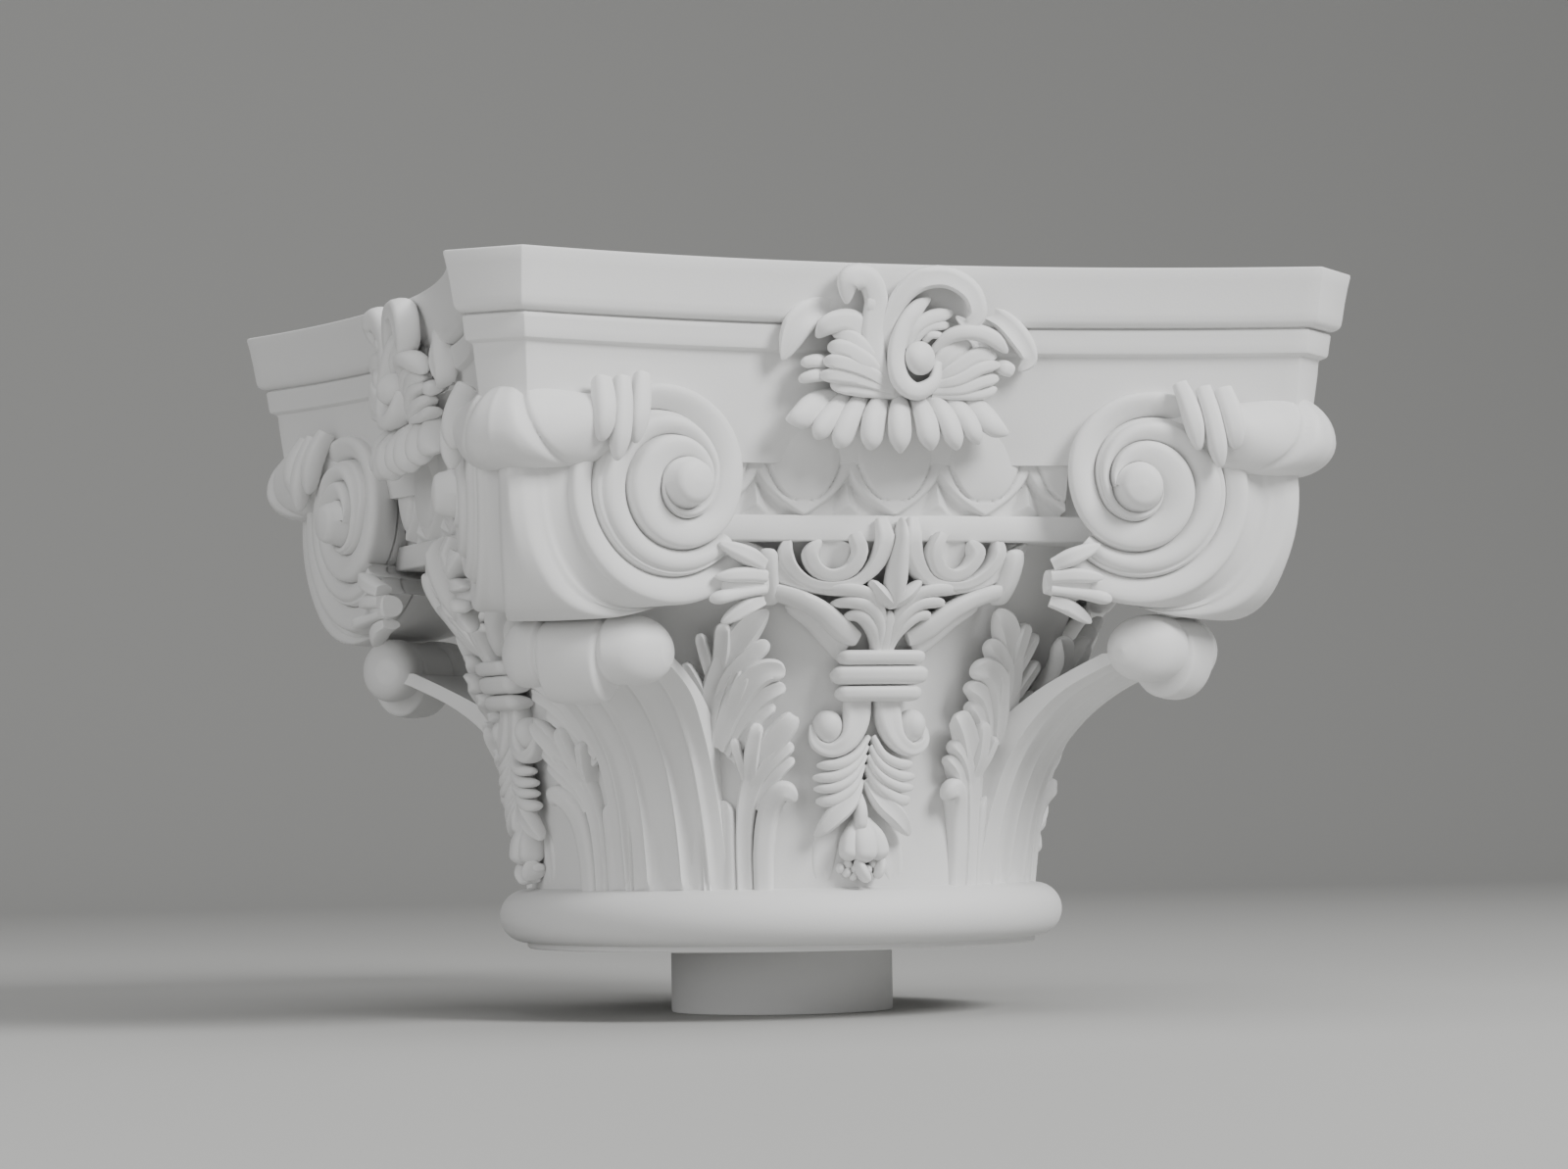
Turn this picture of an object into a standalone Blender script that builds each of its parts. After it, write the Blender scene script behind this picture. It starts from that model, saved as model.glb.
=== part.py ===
# Composite capital of cast plaster: one solid, sizes in millimetres until a mesh is written in metres.
# +Z is up, the front looks along -Y, and the origin is the centre of the spigot's flat foot.
import bpy
import bmesh
from math import asin, cos, pi, radians, sin, sqrt
from mathutils import Matrix, Vector

MM = 0.001
QUARTERS = 4

# Turned foot, from the floor up
SPIGOT_R = 50.0
SPIGOT_TOP = 30.1
FILLET_R = 114.7
FILLET_TOP = 33.0
TORUS_R = 127.0
TORUS_Z = 44.5
TORUS_HALF = 11.8
BELL_FOOT_Z = 56.3
BELL_FOOT_R = 112.5
BELL_LIP_Z = 206.0
BELL_LIP_R = 149.0
TURNED_STEPS = 20

# Square block that carries the egg and dart
BLOCK_HALF = 152.0
BLOCK_Z = 203.5
BAND_TOP = 214.5
EGG_FIELD_HALF = 147.0
EGG_PITCH = 41.0
EGG_SWELL = 11.0
EGG_TOP = 258.0
EGG_LOW = 219.0

# Abacus: (height, corner face plane, chamfer end) of each level, with one sagitta for every side
SIDE_SAG = 31.0
SIDE_STEPS = 6
ABACUS_LEVELS = (
    (236.0, 184.0, 170.5),
    (282.3, 190.2, 172.6),
    (284.4, 194.0, 174.1),
    (292.5, 195.6, 175.0),
    (293.8, 197.1, 176.7),
    (297.0, 199.8, 177.0),
    (318.9, 203.7, 177.9),
)

# Volute: eye centre as across, outward and up, and its turn away from the side's plane
EYE = (101.8, 175.4, 225.8)
VOLUTE_TURN = radians(11.0)
RIM_RADII = (48.0, 50.0, 51.0, 50.0, 46.0, 40.5, 34.5, 29.0, 27.5, 27.0, 26.5, 25.0, 22.5, 19.0, 14.5, 10.5)
STRAND_RADII = (36.5, 38.5, 40.0, 40.0, 36.0, 29.5, 22.0, 17.0, 15.5, 14.5, 12.5, 10.5)
EYE_R = 10.5
TURN_STEPS = 10
RIM_LOW = -5.0
RIM_RISE = 6.0
BAND_DIP = 3.4
STRAND_STEP = 3.2
EYE_DOME = 4.0
STRAP_RINGS = ((0.08, 6.5), (0.18, 13.0), (0.5, 12.0))

# Corner leaf: height, spine radius and half width, foot to roll
LEAF_SPINE = (
    (54.0, 115.0, 24.0),
    (88.0, 120.0, 23.0),
    (116.0, 132.0, 26.0),
    (137.0, 155.0, 31.0),
    (152.0, 188.0, 36.0),
    (168.0, 205.0, 36.0),
)
LEAF_BACK_R = 96.0
LEAF_FLUTES = 3
ROLL_R = 206.0
ROLL_Z = 159.5
ROLL_HALF = 38.0
ROLL_THICK = 13.5

# Leaf cap over the corner
CAP_R = 250.0
CAP_Z = 248.0
CAP_END = (136.0, 181.0)

PLASTER = (0.86, 0.86, 0.85, 1.0)


def bell_radius(z):
    # Slow cavetto: nearly upright at the foot, flaring to the lip
    s = max(0.0, min(1.0, (z - BELL_FOOT_Z) / (BELL_LIP_Z - BELL_FOOT_Z)))
    return BELL_FOOT_R + (BELL_LIP_R - BELL_FOOT_R) * s ** 2.6


def on_bell(arc, z, out):
    # Arc length is taken at a radius of 140, so one millimetre is near one millimetre everywhere
    angle = arc / 140.0
    radius = bell_radius(z) + out
    return Vector((radius * sin(angle), -radius * cos(angle), z))


def on_side(x, z, out):
    return Vector((x, -out, z))


def on_corner(t, radius, z):
    return Vector(((radius + t) / sqrt(2.0), -(radius - t) / sqrt(2.0), z))


def new_object(name, verts, faces, collection):
    mesh = bpy.data.meshes.new(name)
    mesh.from_pydata([Vector(v) * MM for v in verts], [], faces)
    bm = bmesh.new()
    bm.from_mesh(mesh)
    bmesh.ops.remove_doubles(bm, verts=bm.verts, dist=0.02 * MM)
    bmesh.ops.dissolve_degenerate(bm, edges=bm.edges, dist=0.02 * MM)
    bmesh.ops.triangulate(bm, faces=bm.faces)
    bmesh.ops.recalc_face_normals(bm, faces=bm.faces)
    bm.to_mesh(mesh)
    bm.free()
    obj = bpy.data.objects.new(name, mesh)
    collection.objects.link(obj)
    return obj


def loft(name, rings, collection):
    # Closed solid through rings of equal count, with a flat face at each end
    n = len(rings[0])
    verts = [v for ring in rings for v in ring]
    faces = [tuple(range(n))[::-1]]
    for k in range(len(rings) - 1):
        for i in range(n):
            j = (i + 1) % n
            faces.append((k * n + i, k * n + j, (k + 1) * n + j, (k + 1) * n + i))
    faces.append(tuple(range((len(rings) - 1) * n, len(rings) * n)))
    return new_object(name, verts, faces, collection)


def bezier(a, b, c, t):
    return a * (1 - t) ** 2 + b * 2 * t * (1 - t) + c * t ** 2


def tongue(name, base, middle, tip, half_width, thick, up, collection, spans=2, sides=5, point=0.4):
    # Leaf finger: an elliptical rod along a bent line, full at its middle and rounded at its tip
    rings = []
    for k in range(spans + 1):
        t = k / spans
        centre = bezier(base, middle, tip, t)
        ahead = bezier(base, middle, tip, min(1.0, t + 0.05)) - bezier(base, middle, tip, max(0.0, t - 0.05))
        across = ahead.cross(up).normalized()
        lift = across.cross(ahead).normalized()
        swell = 0.75 + 0.25 * sin(pi * t) if k < spans else point
        ring = []
        for i in range(sides):
            a = 2 * pi * i / sides
            ring.append(centre + across * (half_width * swell * cos(a)) + lift * (thick * swell * sin(a)))
        rings.append(ring)
    return loft(name, rings, collection)


def ball(name, centre, radii, collection, segments=6, rings=4):
    mesh = bpy.data.meshes.new(name)
    bm = bmesh.new()
    place = Matrix.Translation(centre * MM) @ Matrix.Diagonal((radii[0] * MM, radii[1] * MM, radii[2] * MM, 1.0))
    bmesh.ops.create_uvsphere(bm, u_segments=segments, v_segments=rings, radius=1.0, matrix=place)
    bm.to_mesh(mesh)
    bm.free()
    obj = bpy.data.objects.new(name, mesh)
    collection.objects.link(obj)
    return obj


def turned_core(collection):
    # Profile from the top centre down the outer side to the bottom centre
    profile = [(0.0, BELL_LIP_Z)]
    for z in (BELL_LIP_Z, 176.0, 142.0, 100.0, BELL_FOOT_Z):
        profile.append((bell_radius(z), z))
    torus_axis_r = TORUS_R - TORUS_HALF
    for k in range(6):
        a = radians(90.0 - 36.0 * k)
        profile.append((torus_axis_r + TORUS_HALF * cos(a), TORUS_Z + TORUS_HALF * sin(a)))
    profile += [(FILLET_R, FILLET_TOP - 0.4), (FILLET_R, SPIGOT_TOP), (SPIGOT_R, SPIGOT_TOP)]
    profile += [(SPIGOT_R, 0.0), (0.0, 0.0)]
    mesh = bpy.data.meshes.new("capital")
    edges = [(i, i + 1) for i in range(len(profile) - 1)]
    mesh.from_pydata([(r * MM, 0.0, z * MM) for r, z in profile], edges, [])
    obj = bpy.data.objects.new("capital", mesh)
    collection.objects.link(obj)
    screw = obj.modifiers.new("turn", "SCREW")
    screw.steps = TURNED_STEPS
    screw.render_steps = TURNED_STEPS
    screw.use_merge_vertices = True
    screw.merge_threshold = 0.00001
    screw.use_smooth_shade = False
    return obj


def abacus_outline(z, p, q):
    # Concave arc from chamfer to chamfer on the front, turned to the other three sides
    radius = (q ** 2 + SIDE_SAG ** 2) / (2 * SIDE_SAG)
    reach = asin(q / radius)
    ring = []
    for k in range(QUARTERS):
        for i in range(SIDE_STEPS + 1):
            a = -reach + 2 * reach * i / SIDE_STEPS
            point = Vector((radius * sin(a), -p + radius * (cos(a) - cos(reach)), z))
            ring.append(Matrix.Rotation(k * pi / 2, 3, "Z") @ point)
    return ring


def abacus(collection):
    return loft("abacus", [abacus_outline(*level) for level in ABACUS_LEVELS], collection)


def square_block(collection):
    rings = []
    for z, half in ((BLOCK_Z, BLOCK_HALF), (BAND_TOP, BLOCK_HALF), (BAND_TOP + 0.5, EGG_FIELD_HALF),
                    (EGG_TOP, EGG_FIELD_HALF)):
        rings.append([Vector((sx * half, sy * half, z)) for sx, sy in ((-1, -1), (1, -1), (1, 1), (-1, 1))])
    return loft("egg_block", rings, collection)


def keyed(values, place):
    # Smooth curve through equally spaced keys
    k = max(0, min(len(values) - 2, int(place)))
    t = min(1.0, max(0.0, place - k))
    before = values[max(0, k - 1)]
    after = values[min(len(values) - 1, k + 2)]
    a, b = values[k], values[k + 1]
    m0, m1 = (b - before) / 2, (after - a) / 2
    t2, t3 = t * t, t * t * t
    return (2 * t3 - 3 * t2 + 1) * a + (t3 - 2 * t2 + t) * m0 + (3 * t2 - 2 * t3) * b + (t3 - t2) * m1


def volute_frame(u, v, out):
    # u runs along the volute's face towards the corner, v upwards
    x = EYE[0] + u * cos(VOLUTE_TURN) - out * sin(VOLUTE_TURN)
    d = EYE[1] + u * sin(VOLUTE_TURN) + out * cos(VOLUTE_TURN)
    return on_side(x, EYE[2] + v, d)


def volute_point(r, turn, out):
    # Turns run from the sheath below the inner side, under the eye, up the corner side and inwards
    angle = radians(225.0) + turn * 2 * pi
    return volute_frame(r * cos(angle), r * sin(angle), out)


def volute_rows():
    # Each row crosses the outer band and the inner strand; the last one closes on the eye
    last = (len(RIM_RADII) - 1) / 8.0
    count = int(round(last * TURN_STEPS))
    rows = []
    for i in range(count + 1):
        turn = i / TURN_STEPS
        rim = keyed(RIM_RADII, turn * 8)
        inner = keyed(RIM_RADII, (turn + 1.0) * 8) if i + TURN_STEPS < count else EYE_R
        strand = max(inner, keyed(STRAND_RADII, turn * 8))
        high = RIM_LOW + RIM_RISE * turn
        dip = BAND_DIP * min(1.0, (rim - strand) / 8.0)
        step = STRAND_STEP * min(1.0, (strand - inner) / 8.0)
        lip = max(inner, strand - 0.6)
        row = [volute_point(rim, turn, high), volute_point(strand, turn, high - dip),
               volute_point(lip, turn, high - dip + step), volute_point(inner, turn, high - dip)]
        rows.append([row[3]] * 4 if i == count else row)
    return rows


def strap_reach(k):
    # Full on the corner side, fading under the eye and behind the cap
    angle = radians(225.0) + k * 2 * pi / TURN_STEPS
    return max(0.0, min(1.0, 0.5 + 0.9 * cos(angle - radians(20.0))))


def corner_volutes(collection):
    # Front face of the volute, its mirror on the next side, and the strap that joins their rims
    rows = volute_rows()
    verts = [v for row in rows for v in row]
    eye = len(verts)
    verts.append(volute_frame(0.0, 0.0, RIM_LOW + RIM_RISE * 1.9 + EYE_DOME))
    faces = []
    for i in range(len(rows) - 1):
        for j in range(3):
            faces.append((4 * i + j, 4 * i + j + 1, 4 * i + j + 5, 4 * i + j + 4))
        n = i + TURN_STEPS
        if n < len(rows) - 1:
            faces.append((4 * i + 3, 4 * n, 4 * (n + 1), 4 * (i + 1) + 3))
        else:
            faces.append((4 * i + 3, eye, 4 * (i + 1) + 3))
    ends = len(rows) - 1
    faces.append((4 * ends + 3, eye, 4 * (ends - TURN_STEPS) + 3))
    half = len(verts)
    mirrored = [Vector((-v.y, -v.x, v.z)) for v in verts]
    faces += [tuple(half + k for k in face[::-1]) for face in faces]
    rim = [4 * i for i in range(TURN_STEPS + 1)] + [3, 2, 1]
    reach = [strap_reach(i) for i in range(TURN_STEPS + 1)] + [0.0, 0.0, 0.0]
    front_eye = volute_frame(0.0, 0.0, 0.0)
    side_eye = Vector((-front_eye.y, -front_eye.x, front_eye.z))
    spans = list(STRAP_RINGS) + [(1.0 - w, out) for w, out in reversed(STRAP_RINGS[:-1])]
    loops = [rim]
    front = [verts[k] for k in rim]
    side = [mirrored[k] for k in rim]
    verts += mirrored
    for w, out in spans:
        centre = front_eye.lerp(side_eye, w)
        loops.append(list(range(len(verts), len(verts) + len(rim))))
        for a, b, far in zip(front, side, reach):
            arm = a.lerp(b, w) - centre
            verts.append(centre + arm * (1.0 + out * far / max(arm.length, 20.0)))
    loops.append([half + k for k in rim])
    for a, b in zip(loops, loops[1:]):
        for k in range(len(rim)):
            m = (k + 1) % len(rim)
            faces.append((a[k], a[m], b[m], b[k]))
    return new_object("corner_volutes", verts, faces, collection)


def corner_leaf(collection):
    # Console-like leaf: a fluted front along the spine, its back sunk in the bell
    rings = []
    steps = 2 * LEAF_FLUTES
    for z, radius, half in LEAF_SPINE:
        ring = []
        for i in range(steps + 1):
            s = -1 + 2 * i / steps
            flute = 2.4 * cos(pi * LEAF_FLUTES * s) - 8.0 * s * s
            ring.append(on_corner(half * s, radius + flute, z))
        ring.append(on_corner(half * 0.8, LEAF_BACK_R, z))
        ring.append(on_corner(-half * 0.8, LEAF_BACK_R, z))
        rings.append(ring)
    loft("corner_leaf", rings, collection)
    # Rolled tip: three lobes side by side, the middle one hanging lowest
    rings = []
    for s, size, drop in ((-1.0, 7.0, 1.0), (-0.7, 12.5, 0.0), (-0.33, 10.0, -3.0), (0.0, 14.0, -5.0),
                          (0.33, 10.0, -3.0), (0.7, 12.5, 0.0), (1.0, 7.0, 1.0)):
        ring = []
        for i in range(6):
            a = 2 * pi * i / 6
            radius = ROLL_R - 10.0 * s * s + size * cos(a)
            ring.append(on_corner(ROLL_HALF * s, radius, ROLL_Z + drop + size * sin(a)))
        rings.append(ring)
    loft("leaf_roll", rings, collection)


def corner_cap(collection):
    # Leaf draped over the corner, from one volute's face round to the next
    rings = []
    end_r = (CAP_END[0] + CAP_END[1]) / sqrt(2.0)
    for k in range(7):
        s = -1 + k / 3
        bulge = 1 - abs(s) ** 2.4
        size = 9.0 + 7.0 * bulge
        ring = []
        for i in range(6):
            a = 2 * pi * i / 6
            radius = end_r + (CAP_R - end_r) * bulge + size * cos(a)
            t = s * (CAP_END[1] - CAP_END[0]) / sqrt(2.0)
            ring.append(on_corner(t, radius, CAP_Z - 3.0 * abs(s) + size * sin(a)))
        rings.append(ring)
    loft("corner_cap", rings, collection)


def egg_and_dart(collection):
    # One waved field: full at the eggs, hollow between them, with a dart's ridge in each hollow
    rings = []
    for k in range(-6, 7):
        x = (k + 0.12 * (k % 4 - 2) * (k % 2)) * EGG_PITCH / 4.0
        egg = (1.0, 0.72, 0.0, 0.72)[k % 4]
        dart = 1.0 if k % 4 == 2 else 0.0
        rings.append([
            on_side(x, BAND_TOP - 3.0, EGG_FIELD_HALF - 9.0),
            on_side(x, BAND_TOP - 3.0, EGG_FIELD_HALF + 4.0 * dart + 0.5),
            on_side(x, EGG_LOW + 12.0, EGG_FIELD_HALF + EGG_SWELL * egg + 1.5),
            on_side(x, EGG_TOP + 2.0, EGG_FIELD_HALF - 9.0),
        ])
    loft("egg_field", rings, collection)


def fleuron(collection):
    out = Vector((0.0, -1.0, 0.0))
    # Fan of nine hanging petals, made as one waved sheet
    rings = []
    for k in range(-9, 10):
        bare = k % 2
        root_x = 4.0 * k - 0.5
        tip_x = 5.8 * k - 2.0
        tip_z = 240.5 + 0.13 * k * k + 5.5 * bare
        swell = 6.0 - 5.0 * bare
        rings.append([
            on_side(root_x, 266.0, 150.0),
            on_side(tip_x, tip_z, 166.0 + swell),
            on_side(root_x, 266.0, 171.0 + swell),
        ])
    loft("petal_fan", rings, collection)
    # Lobed shell: a dome whose edge runs out in pointed leaves
    lobes = 7
    back, edge, crown = [], [], []
    for i in range(2 * lobes):
        a = radians(-8.0) + radians(196.0) * i / (2 * lobes - 1)
        tip = i % 2 == 0
        reach = 1.0 if tip else 0.78
        x, z = 53.0 * cos(a) * reach, 264.0 + 47.0 * sin(a) * reach
        back.append(on_side(x, z, 150.0))
        edge.append(on_side(x, z, 163.0))
        crown.append(on_side(x * 0.55, 268.0 + (z - 268.0) * 0.6, 182.0 if tip else 177.0))
    loft("shell", [back, edge, crown], collection)
    ball("pearl", on_side(3.0, 280.5, 181.0), (8.5, 9.0, 9.0), collection)
    # Hooked crest that sweeps up and over the pearl
    rings = []
    for k in range(7):
        a = radians(205.0 - 42.0 * k)
        size = 6.5 * (1.0 - 0.06 * k)
        centre = on_side(6.0 + 20.0 * cos(a), 292.0 + 21.0 * sin(a), 177.0 + 5.0 * sin(radians(30.0 * k)))
        radial = Vector((cos(a), 0.0, sin(a)))
        rings.append([centre + radial * (size * cos(b)) + out * (size * sin(b))
                      for b in [2 * pi * i / 5 for i in range(5)]])
    loft("crest", rings, collection)


def serrated(name, sections, at, depth, collection):
    # Leaf lying on the bell: (height, inner edge, outer edge, lift) of each section, foot to tip
    rings = []
    for z, inner, outer, lift in sections:
        middle = (inner + outer) / 2
        rings.append([at(inner, z, -depth), at(inner, z, lift * 0.4), at(middle, z, lift),
                      at(outer, z, lift * 0.3), at(outer, z, -depth)])
    loft(name, rings, collection)


def spray(collection, side):
    # Acanthus beside the centre: a leaf whose edge towards the middle runs out in fingers
    def at(arc, z, out):
        return on_bell(side * arc, z, out)

    serrated("spray", (
        (55.0, 58.0, 74.0, 3.0), (84.0, 56.0, 77.0, 4.0), (93.0, 31.0, 77.0, 6.0), (103.0, 52.0, 78.0, 7.0),
        (115.0, 31.0, 78.0, 10.0), (128.0, 50.0, 78.0, 9.0), (138.0, 35.0, 76.0, 12.0), (149.0, 50.0, 73.0, 10.0),
        (161.0, 40.0, 68.0, 14.0), (178.0, 56.0, 66.0, 9.0),
    ), at, 8.0, collection)
    tongue("sheath", at(57.0, 170.0, 8.0), on_side(side * 76.0, 190.0, 163.0), on_side(side * 90.0, 184.0, 170.0),
           11.0, 8.0, Vector((0.0, -1.0, 0.0)), collection, spans=1, sides=4, point=0.6)


def centre_ornament(collection):
    front = Vector((0.0, -1.0, 0.0))
    # Stalk with three bands, and the drop of balls, feathers and bud below it
    rings = []
    for z, half, lift in ((176.0, 7.0, 8.0), (160.0, 20.0, 11.0), (150.0, 22.5, 13.0), (138.0, 20.0, 11.0),
                          (134.0, 11.0, 5.0), (129.0, 29.0, 9.0), (120.0, 28.0, 9.0), (112.0, 17.0, 7.0),
                          (104.0, 29.0, 8.0), (98.0, 16.0, 7.0), (88.0, 28.0, 7.0), (82.0, 12.0, 7.0),
                          (73.0, 13.0, 9.0), (62.0, 8.0, 4.0)):
        rings.append([on_bell(-half, z, -6.0), on_bell(-half, z, lift * 0.5), on_bell(0.0, z, lift),
                      on_bell(half, z, lift * 0.5), on_bell(half, z, -6.0)])
    loft("stalk_and_drop", rings, collection)
    tongue("spike", on_bell(0.0, 168.0, 5.0), on_bell(0.0, 194.0, 10.0), on_side(0.0, 212.0, 153.0), 6.0, 6.0,
           front, collection)
    for side in (-1, 1):
        tongue("branch", on_bell(side * 4.0, 160.0, 6.0), on_bell(side * 20.0, 186.0, 10.0),
               on_bell(side * 58.0, 178.0, 12.0), 7.0, 6.0, front, collection, spans=3, point=0.8)


def plaster_material():
    material = bpy.data.materials.new("plaster")
    material.use_nodes = True
    shader = material.node_tree.nodes["Principled BSDF"]
    shader.inputs["Base Color"].default_value = PLASTER
    shader.inputs["Roughness"].default_value = 0.55
    shader.inputs["Metallic"].default_value = 0.0
    return material


def main():
    for obj in list(bpy.data.objects):
        bpy.data.objects.remove(obj)
    part = bpy.data.collections.new("corinthian_capital")
    added = bpy.data.collections.new("added_forms")
    bpy.context.scene.collection.children.link(part)
    bpy.context.scene.collection.children.link(added)
    capital = turned_core(part)
    abacus(added)
    square_block(added)
    quarter = bpy.data.collections.new("quarter")
    corner_volutes(quarter)
    corner_leaf(quarter)
    corner_cap(quarter)
    egg_and_dart(quarter)
    fleuron(quarter)
    spray(quarter, -1)
    spray(quarter, 1)
    centre_ornament(quarter)
    for k in range(QUARTERS):
        for source in list(quarter.objects):
            copy = bpy.data.objects.new(source.name, source.data)
            copy.rotation_euler.z = k * pi / 2
            added.objects.link(copy)
    for source in list(quarter.objects):
        bpy.data.objects.remove(source)
    for obj in added.objects:
        obj.hide_render = True
        obj.display_type = "WIRE"
    union = capital.modifiers.new("added forms", "BOOLEAN")
    union.operation = "UNION"
    union.operand_type = "COLLECTION"
    union.collection = added
    union.solver = "EXACT"
    capital.data.materials.append(plaster_material())


main()
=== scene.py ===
import bpy
import numpy as np
from mathutils import Matrix


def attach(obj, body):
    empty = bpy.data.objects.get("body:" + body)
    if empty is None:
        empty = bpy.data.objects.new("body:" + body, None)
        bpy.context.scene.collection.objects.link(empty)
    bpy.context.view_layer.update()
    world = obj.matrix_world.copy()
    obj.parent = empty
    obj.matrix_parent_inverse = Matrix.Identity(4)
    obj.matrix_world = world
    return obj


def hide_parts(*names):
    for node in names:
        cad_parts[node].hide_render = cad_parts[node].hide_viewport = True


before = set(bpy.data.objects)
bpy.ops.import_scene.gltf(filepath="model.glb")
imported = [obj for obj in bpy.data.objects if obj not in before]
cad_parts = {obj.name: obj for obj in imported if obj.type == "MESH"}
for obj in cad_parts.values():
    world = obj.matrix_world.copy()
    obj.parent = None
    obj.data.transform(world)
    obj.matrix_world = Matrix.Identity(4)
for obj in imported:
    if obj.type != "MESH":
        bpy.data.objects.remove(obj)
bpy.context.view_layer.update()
print("frame loaded")

mm = 0.001
arcRadius = 140.0  # arcs along the bell are measured on this radius, an eighth turn is 110
quarterTurns = ((1, 0), (0, 1), (-1, 0), (0, -1))  # cosine and sine of each quarter
bell = {"footZ": 56.3, "lipZ": 206.0, "footRadius": 112.5, "flare": 36.5, "power": 2.6}
voluteEye = {"across": 101.8, "out": 175.4, "z": 225.8, "turn": 11.0}  # turn in degrees towards the corner


# shared shape helpers

def smooth(keys, count, ends=None):
    # cubic through the keys: p(t) = (2b + (c-a)t + (2a-5b+4c-d)t^2 + (3b-a-3c+d)t^3) / 2
    keys = np.asarray(keys, float)
    if keys.ndim == 1:
        keys = keys[:, None]
    place = np.linspace(0, 1, count) if ends is None else ends
    place = place * (len(keys) - 1)
    padded = np.vstack([2 * keys[0] - keys[1], keys, 2 * keys[-1] - keys[-2]])
    k = np.clip(place.astype(int), 0, len(keys) - 2)
    t = (place - k)[:, None]
    a, b, c, d = padded[k], padded[k + 1], padded[k + 2], padded[k + 3]
    curved = (2 * a - 5 * b + 4 * c - d) * t ** 2 + (3 * b - a - 3 * c + d) * t ** 3
    return 0.5 * (2 * b + (c - a) * t + curved)


def bump(x, centre, width):
    # e^(-((x-c)/w)^2)
    return np.exp(-((x - centre) / width) ** 2)


def ease(x):
    x = np.clip(x, 0, 1)
    return x * x * (3 - 2 * x)


def bellRadius(z):
    # foot radius + flare s^power, s from 0 at the foot to 1 at the lip
    s = np.clip((z - bell["footZ"]) / (bell["lipZ"] - bell["footZ"]), 0, 1)
    return bell["footRadius"] + bell["flare"] * s ** bell["power"]


def onBell(flat):
    # (arc, z, lift) to a place on the bell, lift measured outwards
    angle = flat[..., 0] / arcRadius
    radius = bellRadius(flat[..., 1]) + flat[..., 2]
    return np.stack([radius * np.sin(angle), -radius * np.cos(angle), flat[..., 1]], -1)


def onSide(flat):
    # (x, z, distance out) to the front side
    return np.stack([flat[..., 0], -flat[..., 2], flat[..., 1]], -1)


def onCorner(flat):
    # (across, z, radius) on the front right diagonal
    t, z, radius = flat[..., 0], flat[..., 1], flat[..., 2]
    return np.stack([(radius + t) / np.sqrt(2), -(radius - t) / np.sqrt(2), z], -1)


def voluteFace(flat):
    # (u, v, out) on the volute's face: (u, out) turned about the eye, v straight up
    turn = np.radians(voluteEye["turn"])
    u, v, out = flat[..., 0], flat[..., 1], flat[..., 2]
    x = voluteEye["across"] + u * np.cos(turn) - out * np.sin(turn)
    d = voluteEye["out"] + u * np.sin(turn) + out * np.cos(turn)
    return np.stack([x, -d, voluteEye["z"] + v], -1)


def mirrored(place):
    # the same place on the left half of the side
    def other(flat):
        points = place(flat)
        return points * np.array([-1.0, 1.0, 1.0])
    return other


def swapped(points):
    # the same form seen on the next side, across the corner's diagonal
    return np.stack([-points[..., 1], -points[..., 0], points[..., 2]], -1)


def outward(verts, quads, tris):
    # turns the faces round where the shell's signed volume is negative
    fan = np.vstack([tris, quads[:, [0, 1, 2]], quads[:, [0, 2, 3]]])
    a, b, c = verts[fan[:, 0]], verts[fan[:, 1]], verts[fan[:, 2]]
    if np.einsum("ij,ij->", a, np.cross(b, c)) < 0:
        quads, tris = quads[:, ::-1], tris[:, ::-1]
    return verts, quads, tris


def tube(points):
    # closed shell from rings of points: (rings, around, 3), each end filled from its middle
    n, m = points.shape[:2]
    centre = points.reshape(-1, 3).mean(0)
    first, last = points[0].mean(0), points[-1].mean(0)
    verts = np.vstack([points.reshape(-1, 3), first, last])
    i, j = np.meshgrid(np.arange(n - 1), np.arange(m), indexing="ij")
    k = (j + 1) % m
    quads = np.stack([i * m + j, i * m + k, (i + 1) * m + k, (i + 1) * m + j], -1).reshape(-1, 4)
    j = np.arange(m)
    k = (j + 1) % m
    low = np.stack([np.full(m, n * m), k, j], -1)
    high = np.stack([np.full(m, n * m + 1), (n - 1) * m + j, (n - 1) * m + k], -1)
    verts, quads, tris = outward(verts - centre, quads, np.vstack([low, high]))
    return verts + centre, quads, tris


def merged(shapes):
    verts, quads, tris, base = [], [], [], 0
    for v, q, t in shapes:
        verts.append(v)
        quads.append(q + base)
        tris.append(t + base)
        base += len(v)
    return np.vstack(verts), np.vstack(quads), np.vstack(tris)


def fourTimes(shape):
    # quarter turns about the upright axis: (x, y) to (x cos - y sin, x sin + y cos)
    verts, quads, tris = shape
    turned = []
    for c, s in quarterTurns:
        spun = verts @ np.array([[c, s, 0], [-s, c, 0], [0, 0, 1]])
        turned.append((spun, quads, tris))
    return merged(turned)


def makePiece(name, shape, material, sharp=38.0):
    verts, quads, tris = shape
    mesh = bpy.data.meshes.new(name)
    mesh.from_pydata((verts * mm).tolist(), [], quads.tolist() + tris.tolist())
    mesh.validate()
    mesh.shade_smooth()
    mesh.set_sharp_from_angle(angle=np.radians(sharp))
    piece = bpy.data.objects.new(name, mesh)
    bpy.context.scene.collection.objects.link(piece)
    mesh.materials.append(material)
    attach(piece, "root")
    print(name, len(quads) * 2 + len(tris), "triangles")
    return piece


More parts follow.
